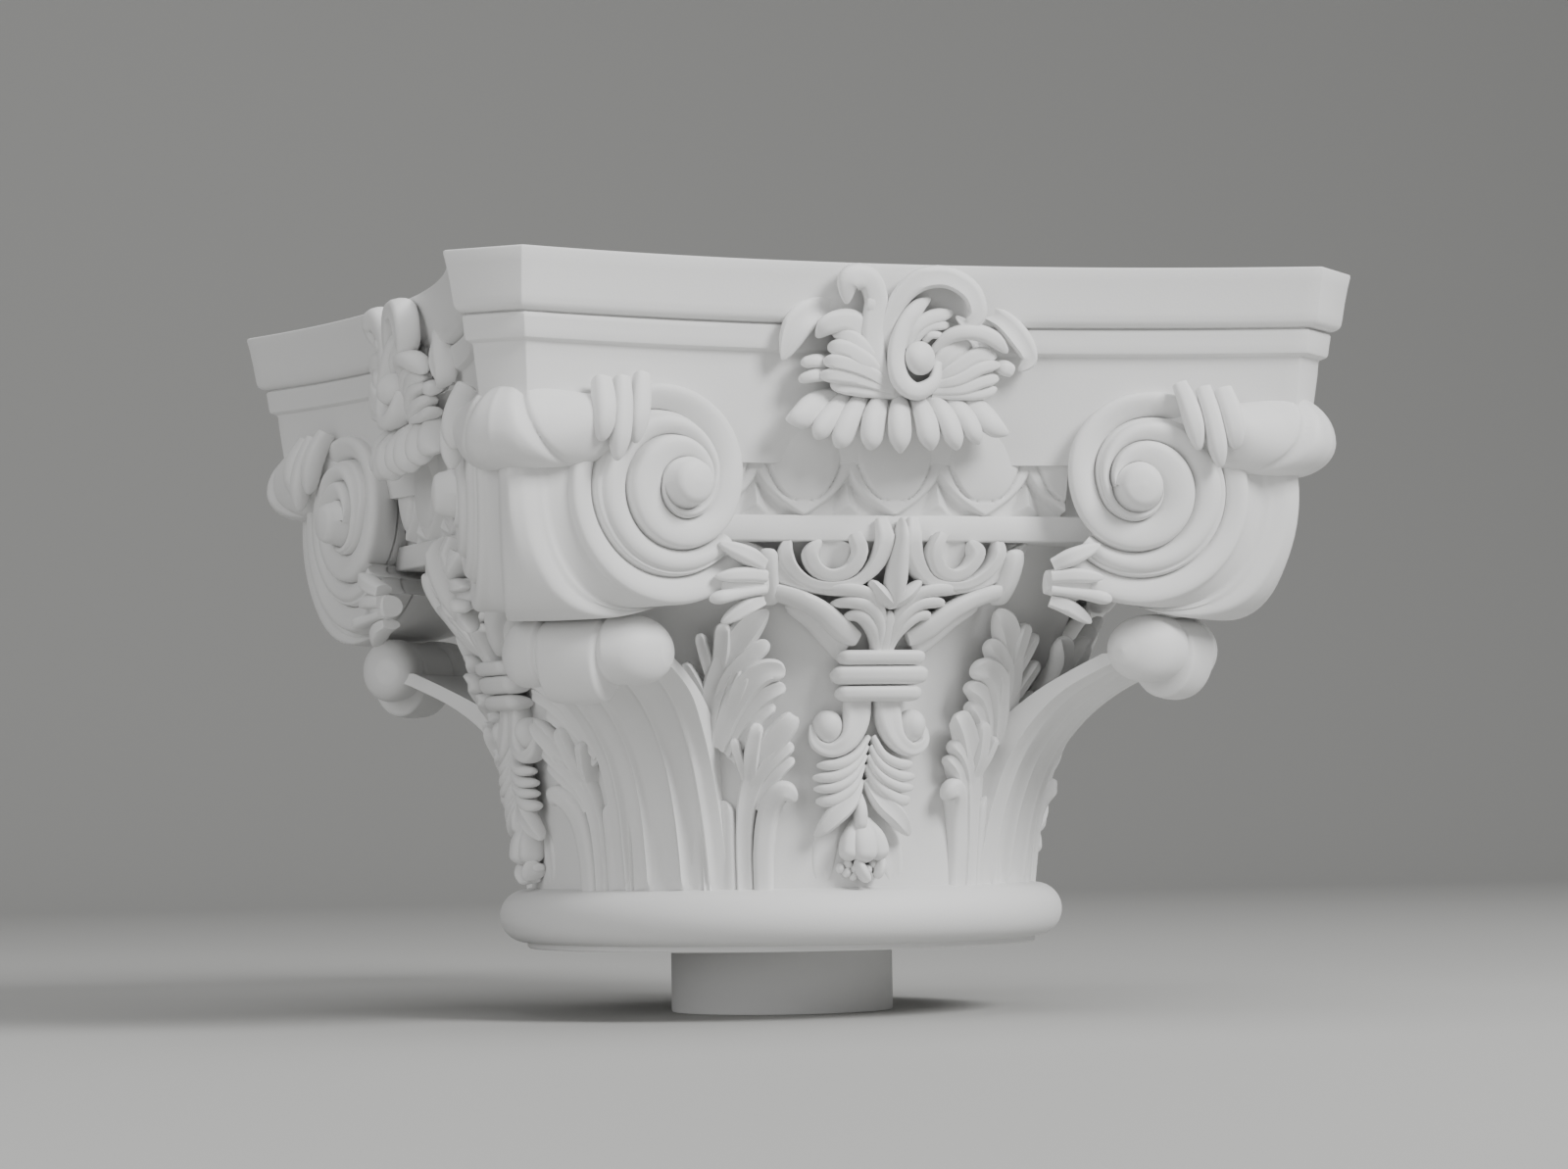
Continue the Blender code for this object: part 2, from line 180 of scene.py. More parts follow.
def lobe(keys, place, along=20, across=16, scoop=0.3, round=0.22, sink=(4.0, 2.0), ridge=0.0, blunt=2.0,
         both=False):
    # leaf finger along a curve of keys (a, z, lift, half width, thickness) in flat measures
    # section: top h = T ((1-c^4)^(1/2) - scoop (1-c^2)^2 + ridge (1-|c|)), under it a bowl of depth sink
    s = np.linspace(0, 1, along)
    s = 0.5 - 0.5 * np.cos(np.pi * s) if both else 1 - (1 - s) ** 1.7
    path = smooth(keys, along, s)
    ahead = np.gradient(path[:, :3], axis=0)
    ahead /= np.linalg.norm(ahead, axis=1)[:, None]
    up = np.array([0.0, 0.0, 1.0])
    side = np.cross(ahead, up)
    side /= np.maximum(np.linalg.norm(side, axis=1), 0.05)[:, None]
    lift = np.cross(side, ahead)
    close = np.sqrt(np.clip(1 - ((s - 1 + round) / round).clip(0, 1) ** blunt, 0, 1))
    if both:
        close = close * close[::-1]
    theta = 2 * np.pi * np.arange(across) / across
    c = np.cos(theta)
    bow = np.sqrt(np.clip(1 - c ** 2, 0, 1))
    top = np.sqrt(np.clip(1 - c ** 4, 0, 1)) - scoop * (1 - c ** 2) ** 2 + ridge * (1 - np.abs(c))
    upper = np.sin(theta) >= -1e-9
    depth = np.linspace(sink[0], sink[1], along)[:, None]
    high = np.where(upper, top * path[:, 4:5] * close[:, None], -bow * depth * close[:, None])
    wide = c * path[:, 3:4] * close[:, None]
    flat = path[:, None, :3] + side[:, None] * wide[..., None] + lift[:, None] * high[..., None]
    return tube(place(flat[1:-1] if both else flat[:-1]))


def ballAt(flatCentre, radii, place, around=16, rings=10):
    # (x, y, z) = centre + radii (cos p cos q, cos p sin q, sin p)
    p = np.linspace(-np.pi / 2, np.pi / 2, rings + 2)[1:-1]
    q = 2 * np.pi * np.arange(around) / around
    p, q = np.meshgrid(p, q, indexing="ij")
    flat = np.stack([np.cos(p) * np.cos(q), np.sin(p), np.cos(p) * np.sin(q)], -1) * np.array(radii)
    return tube(place(flat + np.array(flatCentre)))


# materials

def makeGrainAndLightGroup():
    # Mottled tone and fine pits of hand finished plaster, with a painted highlight on sharp edges and painted
    # shade in creases
    group = bpy.data.node_groups.new("plasterGrainAndPaintedLight", "ShaderNodeTree")
    colours = {"Tone": (0.8, 0.8, 0.8, 1), "Shade": (0.6, 0.6, 0.6, 1), "Painted Edge Highlight": (0.9, 0.9, 0.9, 1)}
    numbers = {"Mottle Scale": 14.0, "Pit Scale": 900.0, "Base Roughness": 0.5}
    for name, value in {**colours, **numbers}.items():
        kind = "NodeSocketColor" if name in colours else "NodeSocketFloat"
        socket = group.interface.new_socket(name, in_out="INPUT", socket_type=kind)
        socket.default_value = value
    group.interface.new_socket("Color", in_out="OUTPUT", socket_type="NodeSocketColor")
    group.interface.new_socket("Roughness", in_out="OUTPUT", socket_type="NodeSocketFloat")
    group.interface.new_socket("Height", in_out="OUTPUT", socket_type="NodeSocketFloat")
    nodes, links = group.nodes, group.links
    enter = nodes.new("NodeGroupInput")
    leave = nodes.new("NodeGroupOutput")
    where = nodes.new("ShaderNodeTexCoord")
    mottle = nodes.new("ShaderNodeTexNoise")
    mottle.inputs["Detail"].default_value = 5.0
    mottle.inputs["Roughness"].default_value = 0.6
    links.new(where.outputs["Object"], mottle.inputs["Vector"])
    links.new(enter.outputs["Mottle Scale"], mottle.inputs["Scale"])
    patch = nodes.new("ShaderNodeMapRange")
    patch.inputs["From Min"].default_value = 0.35
    patch.inputs["From Max"].default_value = 0.7
    links.new(mottle.outputs["Fac"], patch.inputs["Value"])
    pits = nodes.new("ShaderNodeTexNoise")
    pits.inputs["Detail"].default_value = 3.0
    links.new(where.outputs["Object"], pits.inputs["Vector"])
    links.new(enter.outputs["Pit Scale"], pits.inputs["Scale"])
    # painted shade darkens crevices and a painted highlight lightens edges, by how sharply the surface bends
    shape = nodes.new("ShaderNodeNewGeometry")
    edge = nodes.new("ShaderNodeMapRange")
    edge.inputs["From Min"].default_value = 0.515
    edge.inputs["From Max"].default_value = 0.58
    links.new(shape.outputs["Pointiness"], edge.inputs["Value"])
    dip = nodes.new("ShaderNodeMapRange")
    dip.inputs["From Min"].default_value = 0.49
    dip.inputs["From Max"].default_value = 0.42
    links.new(shape.outputs["Pointiness"], dip.inputs["Value"])
    body = nodes.new("ShaderNodeMix")
    body.data_type = "RGBA"
    softPatch = nodes.new("ShaderNodeMath")
    softPatch.operation = "MULTIPLY"
    softPatch.inputs[1].default_value = 0.18
    links.new(patch.outputs["Result"], softPatch.inputs[0])
    links.new(softPatch.outputs[0], body.inputs["Factor"])
    links.new(enter.outputs["Tone"], body.inputs["A"])
    links.new(enter.outputs["Shade"], body.inputs["B"])
    # painted highlight: sharp edges mixed towards the lighter edge highlight colour
    edgeHighlightMix = nodes.new("ShaderNodeMix")
    edgeHighlightMix.data_type = "RGBA"
    softEdge = nodes.new("ShaderNodeMath")
    softEdge.operation = "MULTIPLY"
    softEdge.inputs[1].default_value = 0.6
    links.new(edge.outputs["Result"], softEdge.inputs[0])
    links.new(softEdge.outputs[0], edgeHighlightMix.inputs["Factor"])
    links.new(body.outputs["Result"], edgeHighlightMix.inputs["A"])
    links.new(enter.outputs["Painted Edge Highlight"], edgeHighlightMix.inputs["B"])
    # painted shade: creases mixed towards the darker shade colour
    creviceShadeMix = nodes.new("ShaderNodeMix")
    creviceShadeMix.data_type = "RGBA"
    softDip = nodes.new("ShaderNodeMath")
    softDip.operation = "MULTIPLY"
    softDip.inputs[1].default_value = 0.5
    links.new(dip.outputs["Result"], softDip.inputs[0])
    links.new(softDip.outputs[0], creviceShadeMix.inputs["Factor"])
    links.new(edgeHighlightMix.outputs["Result"], creviceShadeMix.inputs["A"])
    links.new(enter.outputs["Shade"], creviceShadeMix.inputs["B"])
    links.new(creviceShadeMix.outputs["Result"], leave.inputs["Color"])
    # drier and rougher in the mottled patches
    rough = nodes.new("ShaderNodeMath")
    rough.operation = "MULTIPLY_ADD"
    rough.inputs[1].default_value = 0.14
    links.new(patch.outputs["Result"], rough.inputs[0])
    links.new(enter.outputs["Base Roughness"], rough.inputs[2])
    links.new(rough.outputs[0], leave.inputs["Roughness"])
    height = nodes.new("ShaderNodeMath")
    height.operation = "MULTIPLY_ADD"
    height.inputs[1].default_value = 0.55
    links.new(mottle.outputs["Fac"], height.inputs[0])
    links.new(pits.outputs["Fac"], height.inputs[2])
    links.new(height.outputs[0], leave.inputs["Height"])
    return group


grainAndLightGroup = makeGrainAndLightGroup()


def plaster(name, tone, shade, edgeHighlight, roughness, bumpStrength=0.12, mottleScale=14.0):
    material = bpy.data.materials.new(name)
    material.use_nodes = True
    nodes, links = material.node_tree.nodes, material.node_tree.links
    shader = nodes["Principled BSDF"]
    grain = nodes.new("ShaderNodeGroup")
    grain.node_tree = grainAndLightGroup
    grain.inputs["Tone"].default_value = tone
    grain.inputs["Shade"].default_value = shade
    grain.inputs["Painted Edge Highlight"].default_value = edgeHighlight
    grain.inputs["Mottle Scale"].default_value = mottleScale
    grain.inputs["Base Roughness"].default_value = roughness
    relief = nodes.new("ShaderNodeBump")
    relief.inputs["Strength"].default_value = bumpStrength
    relief.inputs["Distance"].default_value = 0.0004
    links.new(grain.outputs["Color"], shader.inputs["Base Color"])
    links.new(grain.outputs["Roughness"], shader.inputs["Roughness"])
    links.new(grain.outputs["Height"], relief.inputs["Height"])
    links.new(relief.outputs["Normal"], shader.inputs["Normal"])
    shader.inputs["Specular IOR Level"].default_value = 0.35
    return material


# third colour: painted highlight on sharp edges; second colour: darker mottle tone, also used as painted
# shade in creases
castPlaster = plaster("castPlaster", (0.80, 0.80, 0.795, 1), (0.70, 0.70, 0.695, 1),
                      (0.86, 0.86, 0.855, 1), 0.5)
# darker copy of the same cast plaster: its lower tones are painted shade on the bell, torus and spigot; it is
# also rougher, with stronger bump and larger mottle
shadedDrumPlaster = plaster("shadedDrumPlaster", (0.78, 0.78, 0.775, 1), (0.69, 0.69, 0.685, 1),
                      (0.85, 0.85, 0.845, 1), 0.56, 0.16, 9.0)
print("materials ready")


# turned drum: spigot, fillet, torus and bell

drum = {"spigotRadius": 50.0, "filletRadius": 114.7, "torusRadius": 127.0, "torusHalf": 11.8, "steps": 160}


def turnedDrum():
    # profile (radius, z) from the lid under the abacus down to the foot, turned once round
    z = np.linspace(206.0, 57.2, 44)
    bell = np.stack([bellRadius(z), z], -1)
    a = np.radians(np.linspace(86, -84, 26))
    axis = drum["torusRadius"] - drum["torusHalf"]
    ring = np.stack([axis + drum["torusHalf"] * np.cos(a), 44.5 + drum["torusHalf"] * np.sin(a)], -1)
    s, f = drum["spigotRadius"], drum["filletRadius"]
    foot = [(f, 32.6), (f, 30.8), (f - 0.7, 30.1), (s + 12, 30.1), (s + 0.8, 30.1), (s, 29.4), (s, 15.0),
            (s, 0.9), (s - 0.3, 0.25), (s - 0.9, 0.0), (s - 10, 0.0)]
    profile = np.vstack([[(120.0, 206.0)], bell, ring, foot])
    angle = 2 * np.pi * np.arange(drum["steps"]) / drum["steps"]
    r, zz = profile[:, 0][:, None], profile[:, 1][:, None]
    points = np.stack([r * np.sin(angle), -r * np.cos(angle), zz + 0 * angle], -1)
    return tube(points)


drumPiece = makePiece("drum", turnedDrum(), shadedDrumPlaster, 32.0)
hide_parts("capital")


# abacus with hollow sides and cut corners

abacus = {"sag": 31.0, "steps": 56, "soften": 0.7}


def abacusRing(p, q):
    # each side is an arc of radius (q^2+sag^2)/(2 sag) between the chamfers, its corners eased
    radius = (q ** 2 + abacus["sag"] ** 2) / (2 * abacus["sag"])
    reach = np.arcsin(q / radius)
    soft = abacus["soften"]
    a = np.linspace(-reach + soft / radius, reach - soft / radius, abacus["steps"])
    side = np.stack([radius * np.sin(a), -p + radius * (np.cos(a) - np.cos(reach))], -1)
    corner = np.array([q, -p])
    along = np.array([np.cos(reach), np.sin(reach) * -1.0])
    cut = np.array([1.0, 1.0]) / np.sqrt(2)
    eased = corner - 0.28 * soft * along + 0.28 * soft * cut
    side = np.vstack([eased * [-1, 1], side, eased, corner + cut * soft])
    side = np.vstack([(corner + cut * soft) * [-1, 1], side])
    ring = [side @ np.array([[c, s], [-s, c]]) for c, s in quarterTurns]
    return np.vstack(ring)


def abacusShape():
    # levels (z, corner plane, chamfer end), from inside the neck up to the top
    levels = [(236.0, 183.2, 170.0), (255.0, 186.6, 171.3), (275.0, 189.4, 172.4), (280.8, 190.0, 172.6),
              (281.8, 190.6, 172.8), (282.5, 192.6, 173.6), (283.0, 193.4, 173.9), (284.0, 193.9, 174.1),
              (287.0, 194.3, 174.3), (290.5, 194.8, 174.6), (292.0, 195.0, 174.7), (292.9, 194.6, 174.5),
              (293.2, 193.0, 173.8), (293.8, 193.2, 173.9), (294.0, 195.8, 175.6), (294.5, 197.2, 176.3),
              (295.4, 198.4, 176.7), (296.8, 199.2, 176.9), (300.0, 199.8, 177.1), (306.0, 200.8, 177.3),
              (313.0, 202.3, 177.6), (317.6, 203.5, 177.9), (318.5, 203.4, 177.8), (318.9, 202.6, 177.4)]
    rings = []
    for z, p, q in levels:
        flat = abacusRing(p, q)
        rings.append(np.column_stack([flat, np.full(len(flat), z)]))
    top = rings[-1] * np.array([0.9, 0.9, 1.0])
    low = rings[0] * np.array([0.8, 0.8, 1.0])
    return tube(np.stack([low] + rings + [top]))


makePiece("abacus", abacusShape(), castPlaster, 30.0)


# square block with its plain band, and the egg and dart on it

eggs = {"pitch": 41.0, "fieldOut": 147.0, "backOut": 138.0, "reach": 78.0, "rows": 60, "columns": 200}


def blockShape():
    # one square outline carried up the section: band, step back, plain field
    section = [(203.5, 120.0), (203.5, 150.0), (203.7, 151.4), (204.4, 152.0), (209.0, 152.1), (213.6, 152.0),
               (214.3, 151.6), (214.6, 150.8), (214.7, 147.4), (215.2, 147.0), (235.0, 147.0),
               (258.0, 147.0)]
    steps = 40
    s = np.linspace(-1, 1, steps, endpoint=False)
    side = np.stack([s, -np.ones(steps)], -1)
    square = np.vstack([side @ np.array([[c, n], [-n, c]]) for c, n in quarterTurns])
    rings = [np.column_stack([square * half, np.full(len(square), z)]) for z, half in section]
    return tube(np.stack(rings))


def eggField():
    # height out of the field on an (x, z) grid. Frame edge: |x| = 20.5 (1 - (1-u)^1.9), u = (z-214.5)/21.5;
    # cup edge: |x| = 18.3 v^0.36, v = (z-220.5)/22; the egg swells inside, a three sided dart fills each gap
    x = np.linspace(-eggs["reach"], eggs["reach"], eggs["columns"] + 1)
    z = 213.0 + 46.0 * np.linspace(0, 1, eggs["rows"] + 1)
    x, z = np.meshgrid(x, z, indexing="ij")
    half = eggs["pitch"] / 2
    a = np.abs((x + half) % eggs["pitch"] - half)
    outer = half * (1 - np.clip(1 - (z - 214.5) / 21.5, 0, 1) ** 1.9)
    outer = np.where(z < 214.5, (z - 214.5) * 3, outer)
    inner = np.where(z > 220.5, 18.3 * np.clip((z - 220.5) / 22.0, 0, 1) ** 0.36, (z - 220.5) * 3)
    edge = ease((outer - a) / 2.4 + 0.9)
    cup = ease((inner - a) / 1.3 + 0.5)
    swell = np.sqrt(np.clip(1 - (a / 18.8) ** 2, 0, 1)) * np.sqrt(np.clip(1 - ((z - 246) / 27.0) ** 2, 0, 1))
    shelf = 5.4 - 1.5 * bump(a, inner, 0.8) * (z > 219)
    raised = shelf * (1 - cup) + (3.0 + 6.4 * swell) * cup
    gap = half - a
    foot = (z - 214.7) * 1.05
    slope = 4.7 - 0.9 * gap - 0.31 * (z - 219.0)
    dart = np.clip(np.minimum(foot, slope), 0, None)
    out = eggs["fieldOut"] + 0.3 + raised * edge + dart * (1 - edge)
    front = np.stack([x, z, out], -1)
    back = front[:, [-1, 0]].copy()
    back[..., 2] = eggs["backOut"]
    return tube(onSide(np.concatenate([front, back], 1)))


makePiece("eggAndDart", merged([blockShape(), fourTimes(eggField())]), castPlaster, 60.0)


# corner volutes: one spiral stair for each face, joined by a barrel strap

volute = {
    "steps": 88,
    "startAngle": 225.0,
    "keysPerTurn": 8.0,
    "rim": (48.0, 50.0, 51.0, 50.0, 46.0, 40.5, 34.5, 29.0, 27.5, 27.0, 26.5, 25.0, 22.5, 19.0, 14.5, 10.5),
    "strand": (36.5, 38.5, 40.0, 40.0, 36.0, 29.5, 22.0, 17.0, 15.5, 14.5, 12.5, 10.5),
    "low": -5.0,
    "rise": 6.0,
    "eye": 10.5,
}
# across each band, (fraction, height): rim to crevice, then crevice to the next turn
bandKeys = np.array([(0.0, -3.2), (0.03, -1.5), (0.08, -0.5), (0.16, 0.1), (0.35, 0.5), (0.6, 0.1),
                     (0.8, -0.7), (0.92, -1.5), (0.975, -2.5), (1.0, -3.4)])
strandKeys = np.array([(0.0, -3.4), (0.04, -1.6), (0.07, 0.6), (0.12, 1.2), (0.19, 1.1), (0.225, 1.4),
                       (0.26, 2.4), (0.34, 3.3), (0.5, 3.9), (0.68, 3.7), (0.84, 2.8), (0.94, 1.4),
                       (1.0, -0.2)])


def voluteShape():
    # r falls from the rim to the next turn's rim on every spoke; h = low + rise * turn + profile
    steps, eye = volute["steps"], volute["eye"]
    last = (len(volute["rim"]) - 1) / volute["keysPerTurn"]
    count = int(round(last * steps))
    turn = np.arange(count + 1) / steps
    rimKeys = np.array(volute["rim"])
    strandSteps = np.array(volute["strand"])

    def atTurn(keys, t):
        return smooth(keys, 0, np.clip(t * volute["keysPerTurn"] / (len(keys) - 1), 0, 1))[:, 0]

    rim = atTurn(rimKeys, turn)
    inner = np.where(turn + 1.0 < last - 1e-6, atTurn(rimKeys, np.minimum(turn + 1.0, last)), eye)
    strandEnd = (len(strandSteps) - 1) / volute["keysPerTurn"]
    strand = np.where(turn <= strandEnd, atTurn(strandSteps, np.minimum(turn, strandEnd)), eye)
    strand = np.maximum(np.minimum(strand, rim), inner)
    angle = np.radians(volute["startAngle"]) + 2 * np.pi * turn
    high = volute["low"] + volute["rise"] * turn
    bandW, strandW = (rim - strand), (strand - inner)
    dish = np.clip(np.sin(angle), 0, 1) ** 1.5 * (turn < 1.0) * 3.4
    columns, heights = [], []
    for f, h in bandKeys:
        columns.append(rim - bandW * f)
        soft = np.clip(bandW / 7.0, 0, 1)
        heights.append(high + h * soft - dish * f ** 1.5)
    for f, h in strandKeys:
        columns.append(strand - (strandW - 0.5 * np.clip(strandW / 3, 0, 1)) * f)
        soft = np.clip(strandW / 7.0, 0, 1)
        heights.append(high + h * soft - dish * (1 - ease(f * 2.5)))
    r = np.stack(columns, 1)
    h = np.stack(heights, 1)
    flat = np.stack([r * np.cos(angle)[:, None], r * np.sin(angle)[:, None], h], -1)
    m = r.shape[1]
    # dome of the eye, from the innermost turn up to its crown
    start = count - steps
    ring = flat[start:count, -1]
    domeRows = []
    for f in (0.07, 0.16, 0.28, 0.42, 0.57, 0.72, 0.87):
        crown = 8.6 + 4.4 * np.sqrt(1 - (1 - f) ** 2)
        blend = ease(f / 0.22)
        row = ring * np.array([1 - f, 1 - f, 0.0])
        row[:, 2] = ring[:, 2] * (1 - blend) + crown * blend
        domeRows.append(row)
    dome = np.stack(domeRows)
    verts = np.vstack([flat.reshape(-1, 3), dome.reshape(-1, 3), [(0.0, 0.0, 13.2)]])
    i, j = np.meshgrid(np.arange(count), np.arange(m - 1), indexing="ij")
    quads = [np.stack([i * m + j, i * m + j + 1, (i + 1) * m + j + 1, (i + 1) * m + j], -1).reshape(-1, 4)]
    # wall between one turn and the next
    i = np.arange(start)
    quads.append(np.stack([i * m + m - 1, (i + steps) * m, (i + steps + 1) * m, (i + 1) * m + m - 1], -1))
    ringIds = (np.arange(start, count + 1)) * m + m - 1
    base = (count + 1) * m
    k = np.arange(steps)
    nextK = (k + 1) % steps
    domeIds = base + np.arange(len(domeRows))[:, None] * steps + k[None]
    nextIds = base + np.arange(len(domeRows))[:, None] * steps + nextK[None]
    outer, outerNext = ringIds[:-1], ringIds[1:].copy()
    quads.append(np.stack([outer, domeIds[0], nextIds[0], outerNext], -1))
    for a in range(len(domeRows) - 1):
        quads.append(np.stack([domeIds[a], domeIds[a + 1], nextIds[a + 1], nextIds[a]], -1))
    crownId = base + len(domeRows) * steps
    tris = [np.stack([domeIds[-1], np.full(steps, crownId), nextIds[-1]], -1)]
    # the last spoke closes back on the ring where the first turn round the eye began
    endLoop = np.append(np.arange(m) + count * m, domeIds[0][0])
    firstRing = start * m + m - 1
    fan = np.stack([np.full(m - 1, firstRing), endLoop[:m - 1], endLoop[1:m]], -1)
    tris.append(fan)
    tris.append(np.array([[firstRing, count * m + m - 1, domeIds[0][0]]]))
    quads, tris = np.vstack(quads), np.vstack(tris)
    rimLoop = np.append(np.arange(steps + 1) * m, np.arange(m - 1, 0, -1))
    return verts, quads, tris, rimLoop


def cornerVolute():
    flat, quads, tris, rimLoop = voluteShape()
    front = voluteFace(flat)
    side = swapped(front)
    half = len(front)
    # strap section from rim to rim: fraction of the way, and how far it stands outside the rim
    section = [(0.02, -0.2), (0.05, 1.1), (0.09, 2.6), (0.125, 4.0), (0.14, 5.0), (0.134, 6.4), (0.13, 8.0),
               (0.142, 8.6), (0.138, 10.4), (0.134, 12.6), (0.138, 14.2), (0.15, 15.2), (0.172, 15.7),
               (0.21, 15.8),
               (0.32, 16.0), (0.42, 16.1)]
    section = section + [(0.5, 16.15)] + [(1 - w, out) for w, out in reversed(section)]
    eyeFront = voluteFace(np.array([0.0, 0.0, 0.0]))
    eyeSide = swapped(eyeFront)
    angle = np.radians(volute["startAngle"]) + 2 * np.pi * np.arange(volute["steps"] + 1) / volute["steps"]
    reach = np.clip(0.5 + 0.9 * np.cos(angle - np.radians(20.0)), 0, 1)
    reach = np.append(ease(reach), np.zeros(len(rimLoop) - len(angle)))
    a, b = front[rimLoop], side[rimLoop]
    loops = [rimLoop]
    rings = []
    n = len(rimLoop)
    for w, out in section:
        centre = eyeFront * (1 - w) + eyeSide * w
        arm = a * (1 - w) + b * w - centre
        size = np.linalg.norm(arm, axis=1)
        rings.append(centre + arm * (1 + out * reach / np.maximum(size, 20.0))[:, None])
    base = 2 * half
    for k in range(len(rings)):
        loops.append(base + k * n + np.arange(n))
    loops.append(half + rimLoop)
    verts = np.vstack([front, side] + rings)
    allQuads = [quads, half + quads[:, ::-1]]
    for p, q in zip(loops, loops[1:]):
        allQuads.append(np.stack([p, np.roll(p, -1), np.roll(q, -1), q], -1))
    return outward(verts, np.vstack(allQuads), np.vstack([tris, half + tris[:, ::-1]]))


makePiece("volutes", fourTimes(cornerVolute()), castPlaster, 50.0)


# corner leaf: fluted blade that leaves the bell and rolls over under the volutes

leaf = {"rows": 70, "columns": 90}


def leafBlade():
    # keys: z, radius of the spine, half width, radius of the back
    spine = smooth([(54.0, 113.5, 27.0, 96.0), (72.0, 116.0, 27.0, 98.0), (92.0, 120.5, 26.5, 102.0),
                    (112.0, 129.0, 27.0, 110.0), (128.0, 142.0, 29.0, 124.0), (140.0, 158.0, 32.0, 142.0),
                    (149.0, 177.0, 34.0, 160.0), (156.0, 196.0, 35.0, 176.0)], leaf["rows"])
    z, radius, half, back = spine.T
    s = np.linspace(-1, 1, leaf["columns"])
    t = half[:, None] * s
    fade = ease((z - 54.0) / 8.0)[:, None]
    # three hollow channels parted by ribs at s = +-0.3, and the outer ribs of the sprays
    rib = bump(np.abs(s), 0.3, 0.045) * 2.2 + bump(np.abs(s), 0.74, 0.05) * 2.0
    channel = np.where(np.abs(s) < 0.3, -2.2 * np.cos(np.pi / 2 * s / 0.3),
                       np.where(np.abs(s) < 0.74, -2.6 * np.sin(np.pi * (np.abs(s) - 0.3) / 0.44), 0.0))
    lift = (rib + channel) * fade
    top = np.stack([t, z[:, None] + 0 * t, radius[:, None] + lift - 0.0065 * t ** 2], -1)
    under = top[:, ::-1].copy()
    under[..., 2] = back[:, None] - 0.004 * under[..., 0] ** 2
    under[..., 0] *= 0.94
    return tube(onCorner(np.concatenate([top, under], 1)))


def leafRoll():
    # three cushions side by side: section radius and droop vary across, with a cleft at |t| = 14
    t = np.linspace(-38.5, 38.5, 110)
    a = 2 * np.pi * np.arange(44) / 44
    s = np.abs(t) / 38.5
    middle = ease((16.0 - np.abs(t)) / 4.0)
    end = np.sqrt(np.clip(1 - ((np.abs(t) - 24.0).clip(0) / 14.5) ** 2.2, 0, 1))
    size = 14.6 * end * (1 - 0.12 * bump(np.abs(t), 14.5, 1.3)) + 0.35 * middle
    drop = -4.5 * middle * np.sqrt(np.clip(1 - (t / 24.0) ** 2, 0, 1))
    centreR = 191.5 - 9.0 * s ** 2.2
    centreZ = 158.6 - 1.6 * s ** 2 + drop * 0.4
    radius = centreR[:, None] + size[:, None] * np.cos(a)
    z = centreZ[:, None] + size[:, None] * np.sin(a) + drop[:, None] * np.clip(-np.sin(a), 0, 1) * 1.3
    return tube(onCorner(np.stack([t[:, None] + 0 * z, z, radius], -1)))


makePiece("cornerLeaves", fourTimes(merged([leafBlade(), leafRoll()])), castPlaster, 45.0)


# leaf cap draped over each corner

cap = {"columns": 120, "rows": 44}


def capShape():
    # plan keys from the corner outwards: place across, tip radius, low edge, top edge
    keys = [(0.0, 264.5, 231.0, 266.0), (11.0, 262.0, 231.0, 265.0), (20.0, 253.0, 232.0, 262.5),
            (27.5, 244.5, 234.5, 261.5), (33.0, 237.5, 239.5, 262.0), (37.0, 230.5, 246.0, 263.0)]
    half = cap["columns"] // 2 + 1
    s = np.linspace(0, 1, half)
    right = smooth(keys, half)
    plan = np.vstack([right[::-1] * [-1, 1, 1, 1], right[1:]])
    across = np.append(-s[::-1], s[1:])
    t, tip, low, top = plan.T
    phi = np.linspace(0, 2 * np.pi, cap["rows"], endpoint=False)
    # section: rounded drop, full in front, flat below, its back inside the volute
    rise = np.sin(phi)
    deep = 15.0 + 4.0 * (1 - across ** 2)
    middle = low + (top - low) * 0.42
    radius = tip[:, None] - deep[:, None] * (1 - np.cos(phi))
    z = middle[:, None] + np.where(rise > 0, (top - middle)[:, None], (middle - low)[:, None]) * rise
    # clefts between the middle leaf and its neighbours run from the top middle down and out
    level = (z - low[:, None]) / (top - low)[:, None]
    cleft = 0.12 + 0.30 * (1 - level)
    groove = bump(np.abs(across)[:, None], cleft, 0.035) * np.clip(np.cos(phi) + 0.5, 0, 1)
    swell = ease((cleft - np.abs(across)[:, None]) / 0.08 + 0.5)
    radius = radius - 3.2 * groove + 1.6 * swell * np.clip(np.cos(phi), 0, 1)
    return tube(onCorner(np.stack([t[:, None] + 0 * z, z, radius], -1)))


capFingers = (
    ((19.0, 44.0, 1.0, 3.2, 2.5), (21.5, 36.0, 4.0, 4.0, 3.8), (23.6, 27.0, 6.0, 4.2, 4.2),
      (25.8, 15.0, 6.4, 3.4, 3.6)),
    ((29.0, 42.0, 2.0, 3.4, 3.0), (31.0, 32.0, 5.4, 4.0, 4.2), (33.0, 20.0, 7.2, 4.2, 4.6),
      (34.8, 7.6, 7.0, 3.6, 3.8)),
    ((38.0, 41.0, 1.0, 4.0, 3.6), (39.5, 33.0, 5.0, 4.8, 4.6), (40.6, 25.0, 7.0, 4.6, 4.6),
      (41.6, 15.4, 6.6, 4.0, 3.8)),
)


def capFinger(keys):
    front = lobe(keys, voluteFace, 22, 20, scoop=0.0, round=0.3, sink=(6.0, 5.0))
    back = (swapped(front[0]), front[1][:, ::-1], front[2][:, ::-1])
    return [front, back]


capForms = [capShape()]
for keys in capFingers:
    capForms += capFinger(keys)
makePiece("cornerCaps", fourTimes(merged(capForms)), castPlaster, 50.0)
print("main forms done")


# fleuron on the middle of every side

sight = {"plane": 176.0, "slope": 0.354, "eyeZ": 95.7, "spread": 0.0005}


